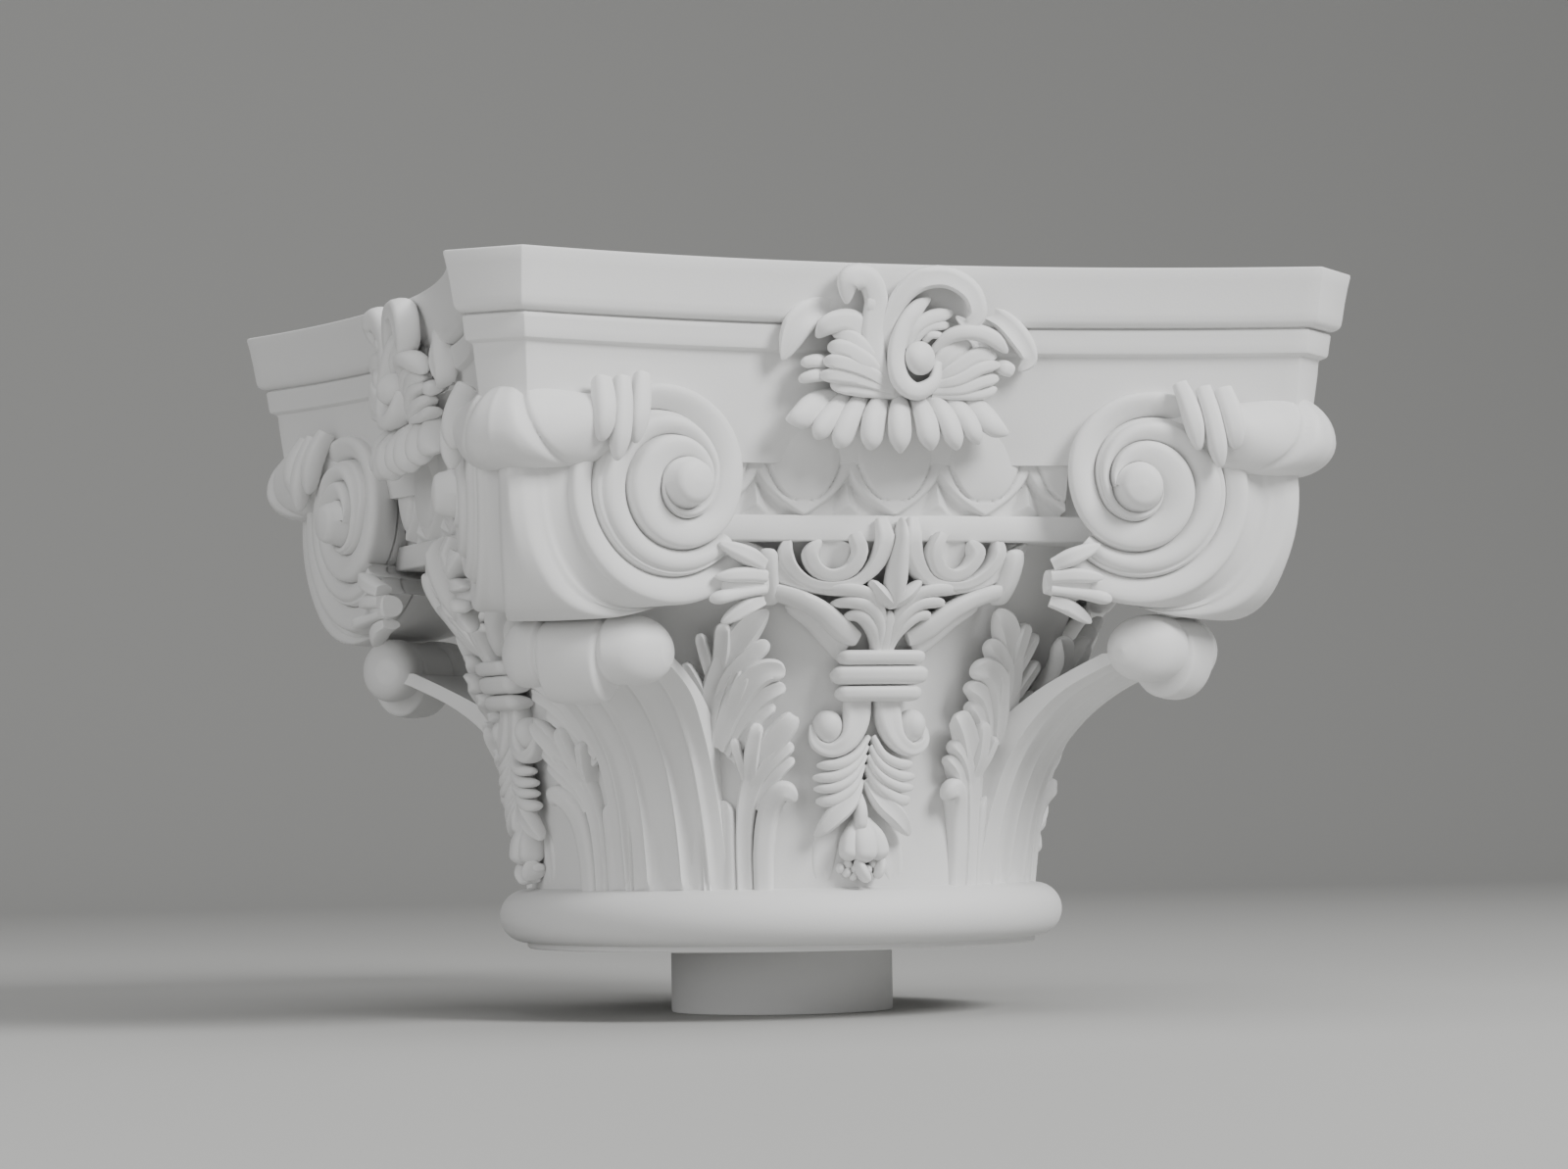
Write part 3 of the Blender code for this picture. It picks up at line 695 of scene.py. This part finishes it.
def onFleuron(flat):
    # seen place (x, z) on one upright plane, slid along the line of sight to its own distance out d:
    # x - slope (d - plane), and heights spread from the eye's level by 1 + spread (plane - d)
    x, z, d = flat[..., 0], flat[..., 1], flat[..., 2]
    past = d - sight["plane"]
    high = sight["eyeZ"] + (z - sight["eyeZ"]) * (1 - past * sight["spread"])
    return np.stack([x - past * sight["slope"], -d, high], -1)


# petals and leaves: keys (x, z, distance out, half width, thickness), then scoop and ridge
fleuronPetals = (
    (((-33, 262, 164, 4.5, 3), (-43, 258, 169, 6.5, 4), (-50, 254, 171, 5.5, 4),
      (-57, 252.5, 170, 2.5, 3)), 0.0, 0.25),
    (((-29, 263, 165, 3.5, 3), (-36, 255, 171, 5.0, 4.5), (-41, 249, 173, 4.6, 4.5),
      (-44, 244.5, 172, 2.6, 3)), 0.0, 0.3),
    (((-22, 263, 166, 3.5, 3), (-28, 254, 172, 5.2, 5), (-32, 246, 174, 5.0, 4.5),
      (-35, 241, 173, 3.0, 3)), 0.0, 0.3),
    (((-14, 263, 167, 3.5, 3), (-17.5, 254, 174, 5.4, 5), (-19, 246, 176, 5.2, 5),
      (-20, 240.0, 175, 3.0, 3)), 0.0, 0.3),
    (((-6, 262, 167, 3.5, 3), (-6.5, 254, 175, 5.2, 5.5), (-6.5, 246, 177, 5.2, 5.5),
      (-6.5, 238.8, 176, 2.4, 3)), 0.0, 0.35),
    (((1, 263, 167, 3.5, 3), (5.0, 254, 175, 5.0, 5), (6.5, 247, 177, 5.2, 5),
      (7.5, 240.2, 176, 3.0, 3)), 0.0, 0.3),
    (((7, 263, 167, 3.5, 3), (14, 255, 174, 4.8, 5), (17.5, 247, 176, 4.8, 5),
      (19.5, 240.5, 175, 2.8, 3)), 0.0, 0.3),
    (((14, 263, 166, 3.5, 3), (22, 256, 172, 4.6, 4.5), (26.5, 249, 174, 4.4, 4.5),
      (29.5, 243.0, 173, 2.6, 3)), 0.0, 0.3),
    (((21, 263, 165, 4.0, 3), (30, 257, 170, 5.0, 4), (36, 251, 172, 4.8, 4),
      (43, 247.5, 171, 2.4, 3)), 0.0, 0.25),
)
fleuronLeaves = (
    # fingers on the left, low to high
    (((-8, 264, 172, 2.6, 3), (-22, 265.5, 174, 3.4, 4), (-31, 266.5, 174, 3.2, 4),
      (-37, 267.5, 172, 2.2, 3)), 0.15, 0.0),
    (((-9, 265.5, 173, 2.4, 3), (-22, 269.5, 176, 3.2, 4), (-33, 271, 176, 3.4, 4),
      (-42, 271.0, 173, 2.6, 3)), 0.15, 0.0),
    (((-10, 267, 173, 2.4, 3), (-20, 273, 177, 3.2, 4.2), (-31, 276.5, 177, 3.6, 4.5),
      (-40, 277.0, 174, 3.0, 3.5)), 0.15, 0.0),
    (((-12, 269, 172, 2.4, 3), (-20, 277, 177, 3.6, 4.5), (-29, 282, 177, 4.0, 4.5),
      (-38, 283.0, 174, 3.4, 3.5)), 0.1, 0.0),
    (((-13, 271, 171, 2.4, 3), (-20, 281, 176, 3.4, 4.5), (-27, 287, 176, 3.4, 4.5),
      (-36, 289.0, 173, 2.6, 3)), 0.1, 0.0),
    (((-17, 277, 169, 4.0, 3), (-21, 289, 173, 5.2, 4.5), (-28, 294, 175, 5.2, 5),
      (-37, 292.5, 175, 4.4, 4.5),
      (-43, 287.0, 173, 2.8, 3)), 0.1, 0.0),
    # outer blade on the left and the lumps under it
    (((-30, 299, 166, 3.5, 3), (-41, 299, 169, 5.5, 4), (-51, 292, 171, 6.5, 4.5),
      (-58, 277.0, 170, 3.2, 3)), 0.45, 0.0),
    (((-36, 276, 168, 3.0, 3), (-43, 277, 171, 3.0, 4), (-50, 276.0, 170, 2.2, 3)), 0.0, 0.0),
    (((-36, 272, 168, 3.0, 3), (-44, 271, 171, 2.8, 4), (-51, 269.0, 169, 2.0, 3)), 0.0, 0.0),
    # stem that turns over at the upper left
    (((-7, 263, 170, 3.5, 4), (-15, 274, 174, 4.6, 5), (-18, 290, 175, 5.2, 5), (-16, 303, 176, 5.4, 5),
      (-20, 312, 178, 5.6, 5.5), (-28, 311, 179, 5.6, 5.5), (-29.5, 301, 178, 3.8, 4)), 0.05, 0.0),
    (((-19, 296, 173, 2.2, 3), (-18.5, 301, 177, 2.8, 4), (-17, 306, 177, 2.6, 3)), 0.0, 0.0),
    # right leaf: its turned over edge, then the fingers below
    (((9, 281, 172, 2.6, 3), (17, 288.5, 177, 3.2, 4.5), (27, 290.5, 179, 3.6, 5),
      (36, 288, 178, 3.6, 4.5),
      (43, 282.0, 175, 2.6, 3)), 0.0, 0.0),
    (((8, 272, 172, 3.0, 3), (15, 280, 175, 4.4, 4.5), (21, 284, 175, 4.0, 4),
      (27, 283.5, 173, 2.6, 3)), 0.15, 0.0),
    (((9, 270, 172, 2.4, 3), (19, 275, 175, 3.4, 4), (29, 280.5, 176, 3.6, 4),
      (38, 280.5, 174, 2.6, 3)), 0.15, 0.0),
    (((9, 267.5, 172, 2.2, 3), (21, 270.5, 175, 2.9, 4), (31, 275.5, 176, 2.9, 4),
      (39.5, 277.0, 174, 2.2, 3)), 0.1, 0.0),
    (((9, 265.5, 172, 2.0, 3), (22, 266.5, 174, 2.8, 4), (31, 269.5, 174, 2.8, 4),
      (39.0, 271.5, 172, 2.4, 3)), 0.1, 0.0),
    (((9, 264, 171, 2.0, 3), (22, 264, 173, 2.4, 3.5), (31, 264.5, 172, 2.4, 3.5),
      (38.0, 267.0, 171, 2.2, 3)), 0.0, 0.0),
    (((38, 276, 168, 2.6, 3), (42, 275.5, 172, 3.4, 4), (45.5, 274.0, 171, 2.6, 3)), 0.0, 0.0),
    (((31, 300, 166, 3.0, 3), (41, 296, 169, 4.6, 4), (49, 288, 171, 5.2, 4.5), (53, 280, 171, 3.8, 4),
      (48, 274.5, 170, 2.2, 3)), 0.45, 0.0),
    # great hook over the pearl, and the blades inside it
    (((-9, 268, 170, 3.0, 4), (-13, 284, 173, 3.4, 4.5), (-8, 300, 176, 4.0, 5), (2, 311, 178, 4.8, 5.5),
      (15, 313.5, 179, 4.8, 5.5), (26, 308, 180, 4.8, 5.5), (29.5, 299, 180, 4.2, 5),
      (25, 294, 179, 3.2, 4.5),
      (19.5, 297, 178, 2.4, 3.5)), 0.25, 0.0),
    (((11, 277, 176, 2.0, 3.5), (9, 269, 178, 3.0, 4.5), (1, 265, 179, 3.9, 5), (-6, 270, 179, 4.4, 5),
      (-7.5, 281, 178, 4.0, 5), (-4, 292, 177, 3.9, 5), (2, 300, 176, 3.7, 4.5),
      (8.5, 304.5, 174, 2.4, 3)), 0.0, 0.0),
    (((-3, 284, 174, 2.2, 3.5), (1, 291, 176, 2.7, 4), (8, 296, 176, 3.2, 4),
      (18.5, 298.5, 174, 2.8, 3.5)), 0.0, 0.0),
    (((0, 285, 173, 1.8, 3), (4, 290, 175, 2.2, 3.5), (9, 293, 175, 2.4, 3.5),
      (17, 293.0, 173, 2.2, 3)), 0.0, 0.0),
    (((6, 287, 173, 1.6, 3), (9, 289, 175, 1.8, 3.5), (13.5, 288.5, 174, 1.6, 3)), 0.0, 0.0),
)


def fleuronShape():
    forms = [ballAt((-1.0, 283.0, 158.0), (36.0, 27.0, 13.5), onFleuron, 32, 16)]
    for keys, scoop, ridge in fleuronPetals:
        forms.append(lobe(keys, onFleuron, 18, 18, scoop=scoop, ridge=ridge, round=0.3, sink=(12.0, 4.0)))
    for keys, scoop, ridge in fleuronLeaves:
        forms.append(lobe(keys, onFleuron, 10 + 4 * len(keys), 16, scoop=scoop, ridge=ridge, sink=(8.0, 5.0)))
    forms.append(ballAt((3.0, 279.0, 179.0), (6.9, 7.2, 6.8), onFleuron, 28, 16))
    return merged(forms)


makePiece("fleurons", fourTimes(fleuronShape()), castPlaster, 55.0)


# sprays of acanthus on both sides of every corner leaf

# keys (arc, z, lift, half width, thickness), then scoop
sprayForms = (
    # flutes and ribs rising from the torus
    (((95.5, 54, -1, 7.0, 3.4), (95.5, 80, 0, 7.0, 3.8), (95.5, 100, 1, 7.4, 4), (97, 118, 3, 8.5, 4),
      (99, 132, 5, 6, 3)), 0.75),
    (((79.5, 54, -1, 8.6, 3.4), (79.5, 70, 0, 8.6, 3.8), (79.5, 84, 1, 8.6, 4),
      (78, 95.5, 2, 7.0, 4)), 0.75),
    (((66.5, 54, -1, 4.6, 3.6), (66.5, 78, 0.5, 4.6, 4), (64, 95, 2, 5.4, 4.6), (58, 108, 5, 6.4, 5),
      (50.5, 119, 9, 6.2, 6),
      (43, 127.5, 12, 5.0, 5.5), (40.5, 131, 11, 3.2, 4)), 0.45),
    (((56.5, 54, -1, 5.4, 4), (56.5, 72, 0.5, 5.6, 4.4), (54, 87, 2, 5.8, 5), (49.5, 96, 5, 5.4, 5.5),
      (44, 98.5, 8, 4.6, 5),
      (39.0, 94.5, 8, 2.6, 3.6)), 0.12),
    # main stem and top leaf
    (((86.5, 54, -0.5, 2.2, 3.5), (87, 80, 0.5, 2.6, 4), (86, 102, 2, 3.6, 5), (83, 121, 4.5, 5.2, 6),
      (78, 138, 7, 6.2, 6.5),
      (70, 154, 10, 6.6, 6.5), (60, 167, 12, 6.0, 6), (51, 175.5, 13, 4.0, 4.5)), 0.5),
    # lowest tier
    (((62, 99, 2, 3.0, 4), (54.5, 108, 6, 3.6, 5), (47, 114.5, 9, 3.5, 5),
      (40.5, 118.5, 10, 2.8, 4)), 0.3),
    (((59.5, 92, 1, 2.6, 4), (53, 101.5, 4, 3.0, 4.5), (46.5, 108, 7, 2.9, 4.5),
      (40.0, 112.5, 8, 2.2, 3.6)), 0.3),
    (((62, 103, 3, 3.6, 4), (60.5, 114, 8, 4.0, 5.5), (57, 128, 12, 3.4, 4.5)), 0.3),
    (((64, 103, 3, 2.0, 3.5), (66.5, 112, 7, 2.4, 4.5), (69, 121.5, 10, 2.4, 4)), 0.2),
    # middle tier
    (((77, 118, 4, 4.6, 5), (70, 132, 8, 5.6, 6), (61, 144, 12, 6.2, 6.5), (52, 149.5, 14, 5.4, 6),
      (44, 149, 14, 4.0, 5)), 0.4),
    (((74, 116, 3, 4.0, 5), (66, 128, 7, 4.4, 5.5), (57, 137, 10, 4.3, 5.5), (50, 141, 12, 3.8, 5),
      (44, 143.0, 12, 2.8, 4)), 0.35),
    (((71, 113, 2, 3.6, 4.5), (63, 123.5, 6, 4.0, 5), (55.5, 131, 9, 3.6, 5),
      (49, 135.5, 10, 2.8, 4)), 0.35),
    (((70, 130, 6, 3.6, 5), (66, 140, 11, 4.0, 5.5), (61, 150, 14, 3.4, 4.5)), 0.3),
    # upper tier
    (((77, 133, 5, 4.0, 5), (68.5, 147, 10, 4.4, 5.5), (59.5, 155.5, 12, 4.2, 5.5),
      (51, 162, 13, 3.2, 4)), 0.35),
    (((75, 146, 6, 3.4, 5), (71.5, 158, 11, 4.0, 5.5), (69.5, 170, 14, 3.6, 4.5)), 0.3),
    # lobes on the corner side
    (((77, 142, 5, 2.6, 4), (78.5, 154, 10, 3.0, 5), (80.5, 166, 13, 2.6, 4)), 0.3),
    (((80, 131, 4, 2.8, 4), (84, 143, 9, 3.2, 5), (88.5, 154, 13, 2.8, 4)), 0.3),
    (((83, 123, 3, 2.6, 4), (88, 132, 7, 3.0, 4.5), (95, 140.5, 11, 2.6, 3.6)), 0.3),
    (((93, 112, 2, 4.0, 4), (100, 126, 6, 5.6, 5), (104.5, 141, 12, 6.6, 5.5), (102, 154, 17, 6.4, 6),
      (94, 164, 18, 4.6, 5)), 0.6),
)


def sprayShape():
    forms = []
    for keys, scoop in sprayForms:
        for place in (onBell, mirrored(onBell)):
            along = 8 + 3 * len(keys)
            forms.append(lobe(keys, place, along, 16, scoop=scoop, round=0.16, sink=(8.0, 3.5), blunt=2.6))
    return merged(forms)


makePiece("sprays", fourTimes(sprayShape()), castPlaster, 55.0)


# palmette, branches and bands in the middle of the bell, and the drop below them

# keys (arc, z, lift, half width, thickness), then scoop and ridge; each is repeated on the other side
palmetteForms = (
    (((2.0, 157, 7, 2.4, 4), (4.6, 164, 9, 2.4, 4.4), (9.5, 170, 11, 2.5, 4.6),
      (14, 172.6, 11, 2.5, 4.4), (19.5, 172.0, 9, 1.8, 3)), 0.0, 0.0),
    (((1.8, 160, 8, 2.2, 4), (4.5, 170, 11, 2.5, 4.6), (10, 176, 12, 2.7, 4.8), (17, 178, 12, 2.6, 4.4),
      (25.5, 177.5, 9, 1.8, 3)), 0.0, 0.0),
    (((1.4, 164, 8, 2.0, 4), (5, 175, 11, 2.6, 4.6), (11, 181.4, 12, 2.8, 4.8),
      (20, 183.2, 12, 2.8, 4.4), (31, 183.2, 9, 2.2, 3)), 0.0, 0.0),
    (((0, 176.5, 11, 1.6, 3), (5, 180.5, 13, 3.4, 4.5), (10.5, 187, 12, 1.6, 3)), 0.0, 0.5),
    # inner cup, outer cup and outer blade
    (((17.5, 206, 7, 2.6, 4), (15.2, 199, 9, 3.2, 5), (18, 192, 10, 3.2, 5), (25, 189, 10, 3.0, 5),
      (31.5, 191.5, 10, 3.2, 5),
      (34.5, 198, 9, 3.4, 5), (30.5, 204, 8, 2.6, 4)), 0.15, 0.0),
    (((25, 190, 5, 5.0, 3), (25, 197, 5, 7.0, 3), (24.5, 204, 4, 7.0, 3)), 0.9, 0.0),
    (((6.5, 213, 5.5, 2.4, 2.6), (5.6, 203, 8, 3.6, 4.5), (8.5, 193.5, 10, 3.4, 5),
      (15.5, 186.6, 11, 2.4, 4.5), (25, 184.6, 11, 2.2, 4.5),
      (34, 186, 11, 2.4, 4.5), (41, 191, 11, 3.2, 5), (44, 198, 10, 3.4, 5),
      (42.5, 206, 8, 2.4, 4)), 0.2, 0.0),
    (((18, 182.5, 7, 2.0, 3), (28, 184, 9, 2.8, 4), (39, 187, 10, 3.8, 5), (49, 193, 10, 4.6, 5),
      (60, 203.5, 7, 3.0, 4)), 0.3, 0.0),
    # branch and its collar
    (((12.5, 163, 6, 3.4, 4), (20, 167, 8, 5.0, 5.5), (29, 174.5, 10, 4.4, 6), (38, 179.3, 11, 4.0, 6),
      (47, 182.2, 12, 3.8, 6),
      (56, 184, 12, 3.6, 5)), 0.0, 0.0),
    (((16.5, 159, 3, 6.0, 3), (24, 164, 5, 5.0, 4), (33, 171.5, 7, 4.0, 4),
      (44, 178, 8, 3.0, 4)), 0.0, 0.0),
)
singleForms = (
    (((0, 155, 6, 2.6, 4), (0, 164, 9, 3.2, 4.5), (0, 175, 11, 2.6, 4)), 0.0, 0.0),
    (((0, 177, 11, 2.2, 4), (0, 185, 13, 4.4, 5), (0, 196, 11, 3.6, 5.5), (0.6, 206, 8, 2.2, 4.5),
      (1.2, 213.4, 5.5, 0.8, 3)), 0.0, 0.6),
)
bands = ((155.0, 20.8, 3.3), (147.6, 23.6, 4.1), (139.8, 21.2, 3.4))  # height, half length, half width
scrolls = (
    (((-9, 139, 4, 7.0, 4.5), (-10, 128, 6, 6.6, 5.5), (-14.5, 119.5, 8, 4.6, 5.5),
      (-22.5, 115.8, 8, 3.2, 4.5),
      (-29.8, 119, 7, 2.6, 4), (-31.8, 127, 5, 2.2, 3)), 0.25, 0.0),
    (((6, 139, 4, 6.8, 4.5), (7, 128, 6, 6.4, 5.5), (11, 119.5, 8, 4.4, 5.5), (18.5, 115.8, 8, 3.2, 4.5),
      (25.5, 118.5, 7, 2.6, 4), (27.8, 126, 5, 2.2, 3)), 0.25, 0.0),
)
# feathers of the drop, leaning with it: keys (arc from its axis, z, lift, half width, thickness)
feathers = (
    (((1.5, 121, 5, 1.4, 3), (7, 113.5, 8, 2.2, 4), (15, 109.8, 9, 2.5, 4.2),
      (25.0, 109.4, 7, 2.0, 3)), 0.0),
    (((1.2, 117, 5, 1.4, 3), (7, 109.0, 8, 2.2, 4.2), (16, 104.6, 9, 2.5, 4.5),
      (26.8, 104.2, 7, 2.0, 3)), 0.0),
    (((1.0, 113, 5, 1.4, 3), (7, 104.5, 8, 2.2, 4.2), (16, 100.0, 9, 2.4, 4.5),
      (26.2, 99.4, 7, 1.8, 3)), 0.0),
    (((1.0, 109, 4, 1.6, 3), (7, 100.0, 7, 2.6, 4.4), (16, 94.8, 8, 3.0, 4.5),
      (25.0, 94.0, 6, 2.2, 3)), 0.0),
    (((1.5, 103, 4, 2.2, 3), (8, 94.0, 7, 4.2, 5), (16, 87.6, 8, 4.6, 5), (25.5, 79.0, 6, 2.6, 3)), 0.3),
)
dropForms = (
    (((-6.5, 96, 4, 1.4, 3), (-6.8, 89.5, 7, 3.0, 4.5), (-7.0, 81.5, 7, 3.2, 4.5)), 0.0, 0.0),
    (((-5.0, 86, 3, 4.0, 4), (-5.0, 77, 6, 6.6, 6.5), (-5.0, 67.5, 7, 5.6, 6.5)), 0.0, 0.0),
    (((-7.0, 85, 3, 3.0, 4), (-11.5, 77, 5, 5.0, 5.5), (-13.5, 68.5, 6, 4.4, 5.5)), 0.0, 0.0),
    (((-3.0, 85, 3, 3.0, 4), (2.0, 77, 5, 5.0, 5.5), (4.5, 68.5, 6, 4.4, 5.5)), 0.0, 0.0),
    (((-8.0, 68, 4, 2.0, 3), (-6.0, 64, 6, 3.0, 4), (-2.5, 59.5, 5, 2.0, 3)), 0.0, 0.4),
    (((5.0, 69, 3, 2.0, 3), (4.0, 65, 5, 2.6, 4), (2.0, 61.0, 4, 1.6, 3)), 0.0, 0.4),
    (((-17, 86, -1.5, 3.0, 2), (-23, 76, -1.0, 7.0, 2.4), (-26, 58, -1.2, 5.0, 2)), 0.5, 0.0),
    (((8, 84, -1.5, 3.0, 2), (13, 74, -1.0, 7.0, 2.4), (16, 58, -1.2, 5.0, 2)), 0.5, 0.0),
)
berries = (  # arc, z, radius
    (-16.5, 65.5, 2.2), (-13.0, 63.6, 2.3), (-12.2, 67.2, 2.2), (-9.0, 65.2, 2.4), (-9.6, 61.9, 2.0),
    (-5.2, 66.8, 2.2), (-1.6, 64.6, 2.4), (1.2, 67.2, 2.2), (7.0, 66.6, 2.0), (0.4, 61.6, 1.9),
)


drop = {"lean": 4.6, "from": 134.0, "over": 30.0}  # the cast drop stands a little off plumb


def lean(arc, z):
    # arc less the lean, eased in from the top of the drop downwards
    return arc - drop["lean"] * ease((drop["from"] - z) / drop["over"])


def leaned(keys, side):
    keys = np.array(keys, float)
    keys[:, 0] = lean(keys[:, 0] * side, keys[:, 1])
    return keys


def centreShape():
    forms = []
    sink = (7.0, 5.0)
    for keys, scoop, ridge in palmetteForms:
        along = 8 + 3 * len(keys)
        for place in (onBell, mirrored(onBell)):
            forms.append(lobe(keys, place, along, 16, scoop=scoop, ridge=ridge, round=0.16, sink=sink))
    for keys, scoop, ridge in singleForms + scrolls + dropForms:
        along = 8 + 3 * len(keys)
        forms.append(lobe(keys, onBell, along, 18, scoop=scoop, ridge=ridge, round=0.2, sink=sink))
    for z, length, half in bands:
        keys = [(-length, z, 8, half, 5.2), (-length / 3, z, 9, half, 5.6),
                (length / 3, z, 9, half, 5.6), (length, z, 8, half, 5.2)]
        forms.append(lobe(keys, onBell, 34, 18, scoop=0.0, round=0.12, sink=(9.0, 9.0), both=True))
    for side in (-1, 1):
        for keys, scoop in feathers:
            forms.append(lobe(leaned(keys, side), onBell, 18, 14, scoop=scoop, round=0.2, sink=(6.0, 4.0)))
        collar = [(side * 50.0, 177.5, 11, 4.0, 5), (side * 50.6, 184, 13, 4.2, 6),
                  (side * 50.8, 193, 13, 4.2, 6), (side * 50.4, 200, 10, 4.0, 5)]
        forms.append(lobe(collar, onBell, 24, 16, scoop=0.0, round=0.18, sink=(8.0, 8.0), both=True))
    forms.append(ballAt((-23.6, 125.8, 4.5), (7.4, 7.4, 8.5), onBell, 24, 14))
    forms.append(ballAt((19.6, 125.8, 4.5), (7.2, 7.4, 8.5), onBell, 24, 14))
    for arc, z, size in berries:
        forms.append(ballAt((arc, z, 3.0), (size, size, size + 1.0), onBell, 12, 8))
    return merged(forms)


makePiece("centreOrnaments", fourTimes(centreShape()), castPlaster, 55.0)


# sheath leaves between the collars and the volutes: keys (u, v, out, half width, thickness)
sheathForms = (
    (((-37, -33, -1, 3.0, 4), (-29, -29.5, 1, 3.8, 5), (-16.5, -24.5, 0, 2.2, 3)), 0.2),
    (((-38, -38, -1, 2.8, 4), (-27, -37.5, 0, 3.2, 4.5), (-15, -38.5, -1, 2.0, 3)), 0.1),
    (((-38, -43.5, -2, 2.2, 4), (-28, -45.0, -1, 2.2, 4), (-19, -46.5, 0, 2.8, 4.5),
      (-12, -48, 0, 3.2, 4.5)), 0.0),
    (((-38, -48, -4, 2.6, 4), (-30, -51, -3, 3.4, 4.5), (-20, -57.5, -5, 2.2, 3)), 0.2),
    (((-40, -40, -4, 5.0, 4), (-30, -41, -4, 7.0, 4.5), (-20, -43, -6, 5.0, 4)), 0.0),
)


def sheathShape():
    forms = []
    for keys, scoop in sheathForms:
        for place in (voluteFace, mirrored(voluteFace)):
            forms.append(lobe(keys, place, 18, 16, scoop=scoop, round=0.3, sink=(6.0, 5.0)))
    return merged(forms)


makePiece("sheaths", fourTimes(sheathShape()), castPlaster, 55.0)
print("ornaments done")


# stage, light and camera

def sweepStage():
    # floor that curves up into a backdrop: straight, quarter circle, straight
    x = np.array([-9.0, 9.0])
    a = np.linspace(0, np.pi / 2, 24)
    y = np.concatenate([[-6.0], 2.2 + 1.6 * np.sin(a), [3.8]])
    z = np.concatenate([[0.0], 1.6 - 1.6 * np.cos(a), [7.0]])
    verts = [(px, py, pz) for py, pz in zip(y, z) for px in x]
    faces = [(2 * k, 2 * k + 1, 2 * k + 3, 2 * k + 2) for k in range(len(y) - 1)]
    mesh = bpy.data.meshes.new("paleSweep")
    mesh.from_pydata(verts, [], faces)
    mesh.shade_smooth()
    obj = bpy.data.objects.new("paleSweep", mesh)
    bpy.context.scene.collection.objects.link(obj)
    material = bpy.data.materials.new("palePaper")
    material.use_nodes = True
    shader = material.node_tree.nodes["Principled BSDF"]
    shader.inputs["Base Color"].default_value = (0.42, 0.42, 0.41, 1)
    shader.inputs["Roughness"].default_value = 0.9
    mesh.materials.append(material)
    return obj


sweepStage()


def softBox(name, place, aim, size, power):
    data = bpy.data.lights.new(name, "AREA")
    data.shape = "RECTANGLE"
    data.size, data.size_y = size
    data.energy = power
    lamp = bpy.data.objects.new(name, data)
    bpy.context.scene.collection.objects.link(lamp)
    lamp.location = place
    back = (np.array(place) - np.array(aim))
    back = back / np.linalg.norm(back)
    right = np.cross((0, 0, 1), back)
    right = right / np.linalg.norm(right)
    up = np.cross(back, right)
    lamp.rotation_euler = Matrix((right, up, back)).transposed().to_euler()
    return lamp


lights = {  # place, side of the square, power
    "keyLight": ((1.3, -2.1, 1.9), 1.1, 95.0),
    "fillLight": ((-2.2, -1.6, 0.9), 1.6, 22.0),
    "topLight": ((0.0, -0.2, 2.6), 2.2, 30.0),
}
for name, (place, side, power) in lights.items():
    softBox(name, place, (0, 0, 0.2), (side, side), power)
print("lights ready")
world = bpy.data.worlds.new("studioAir")
world.use_nodes = True
world.node_tree.nodes["Background"].inputs["Color"].default_value = (1.0, 1.0, 1.0, 1)
world.node_tree.nodes["Background"].inputs["Strength"].default_value = 0.25
bpy.context.scene.world = world

view = {"azimuth": 19.493, "distance": 2.0526, "height": 0.0957, "pitch": 2.710, "roll": -0.855,
        "focal": 4613.8, "shiftX": (800 - 791.9) / 1600, "shiftY": (596.5 - 596.6) / 1600}
az, pitch, roll = (np.radians(view[k]) for k in ("azimuth", "pitch", "roll"))
forward = np.array([np.sin(az) * np.cos(pitch), np.cos(az) * np.cos(pitch), np.sin(pitch)])
right = np.array([np.cos(az), -np.sin(az), 0.0])
up = np.cross(right, forward)
rightRolled = right * np.cos(roll) + up * np.sin(roll)
upRolled = up * np.cos(roll) - right * np.sin(roll)
lens = bpy.data.cameras.new("photoCamera")
lens.sensor_width = 36.0
lens.sensor_fit = "HORIZONTAL"
lens.lens = view["focal"] / 1600 * 36.0
lens.shift_x = view["shiftX"]
lens.shift_y = view["shiftY"]
lens.clip_start = 0.05
camera = bpy.data.objects.new("photoCamera", lens)
bpy.context.scene.collection.objects.link(camera)
turn = Matrix((rightRolled, upRolled, -forward)).transposed()
camera.matrix_world = Matrix.Translation((-np.sin(az) * view["distance"], -np.cos(az) * view["distance"],
                                          view["height"])) @ turn.to_4x4()
bpy.context.scene.camera = camera

print("scene finished")
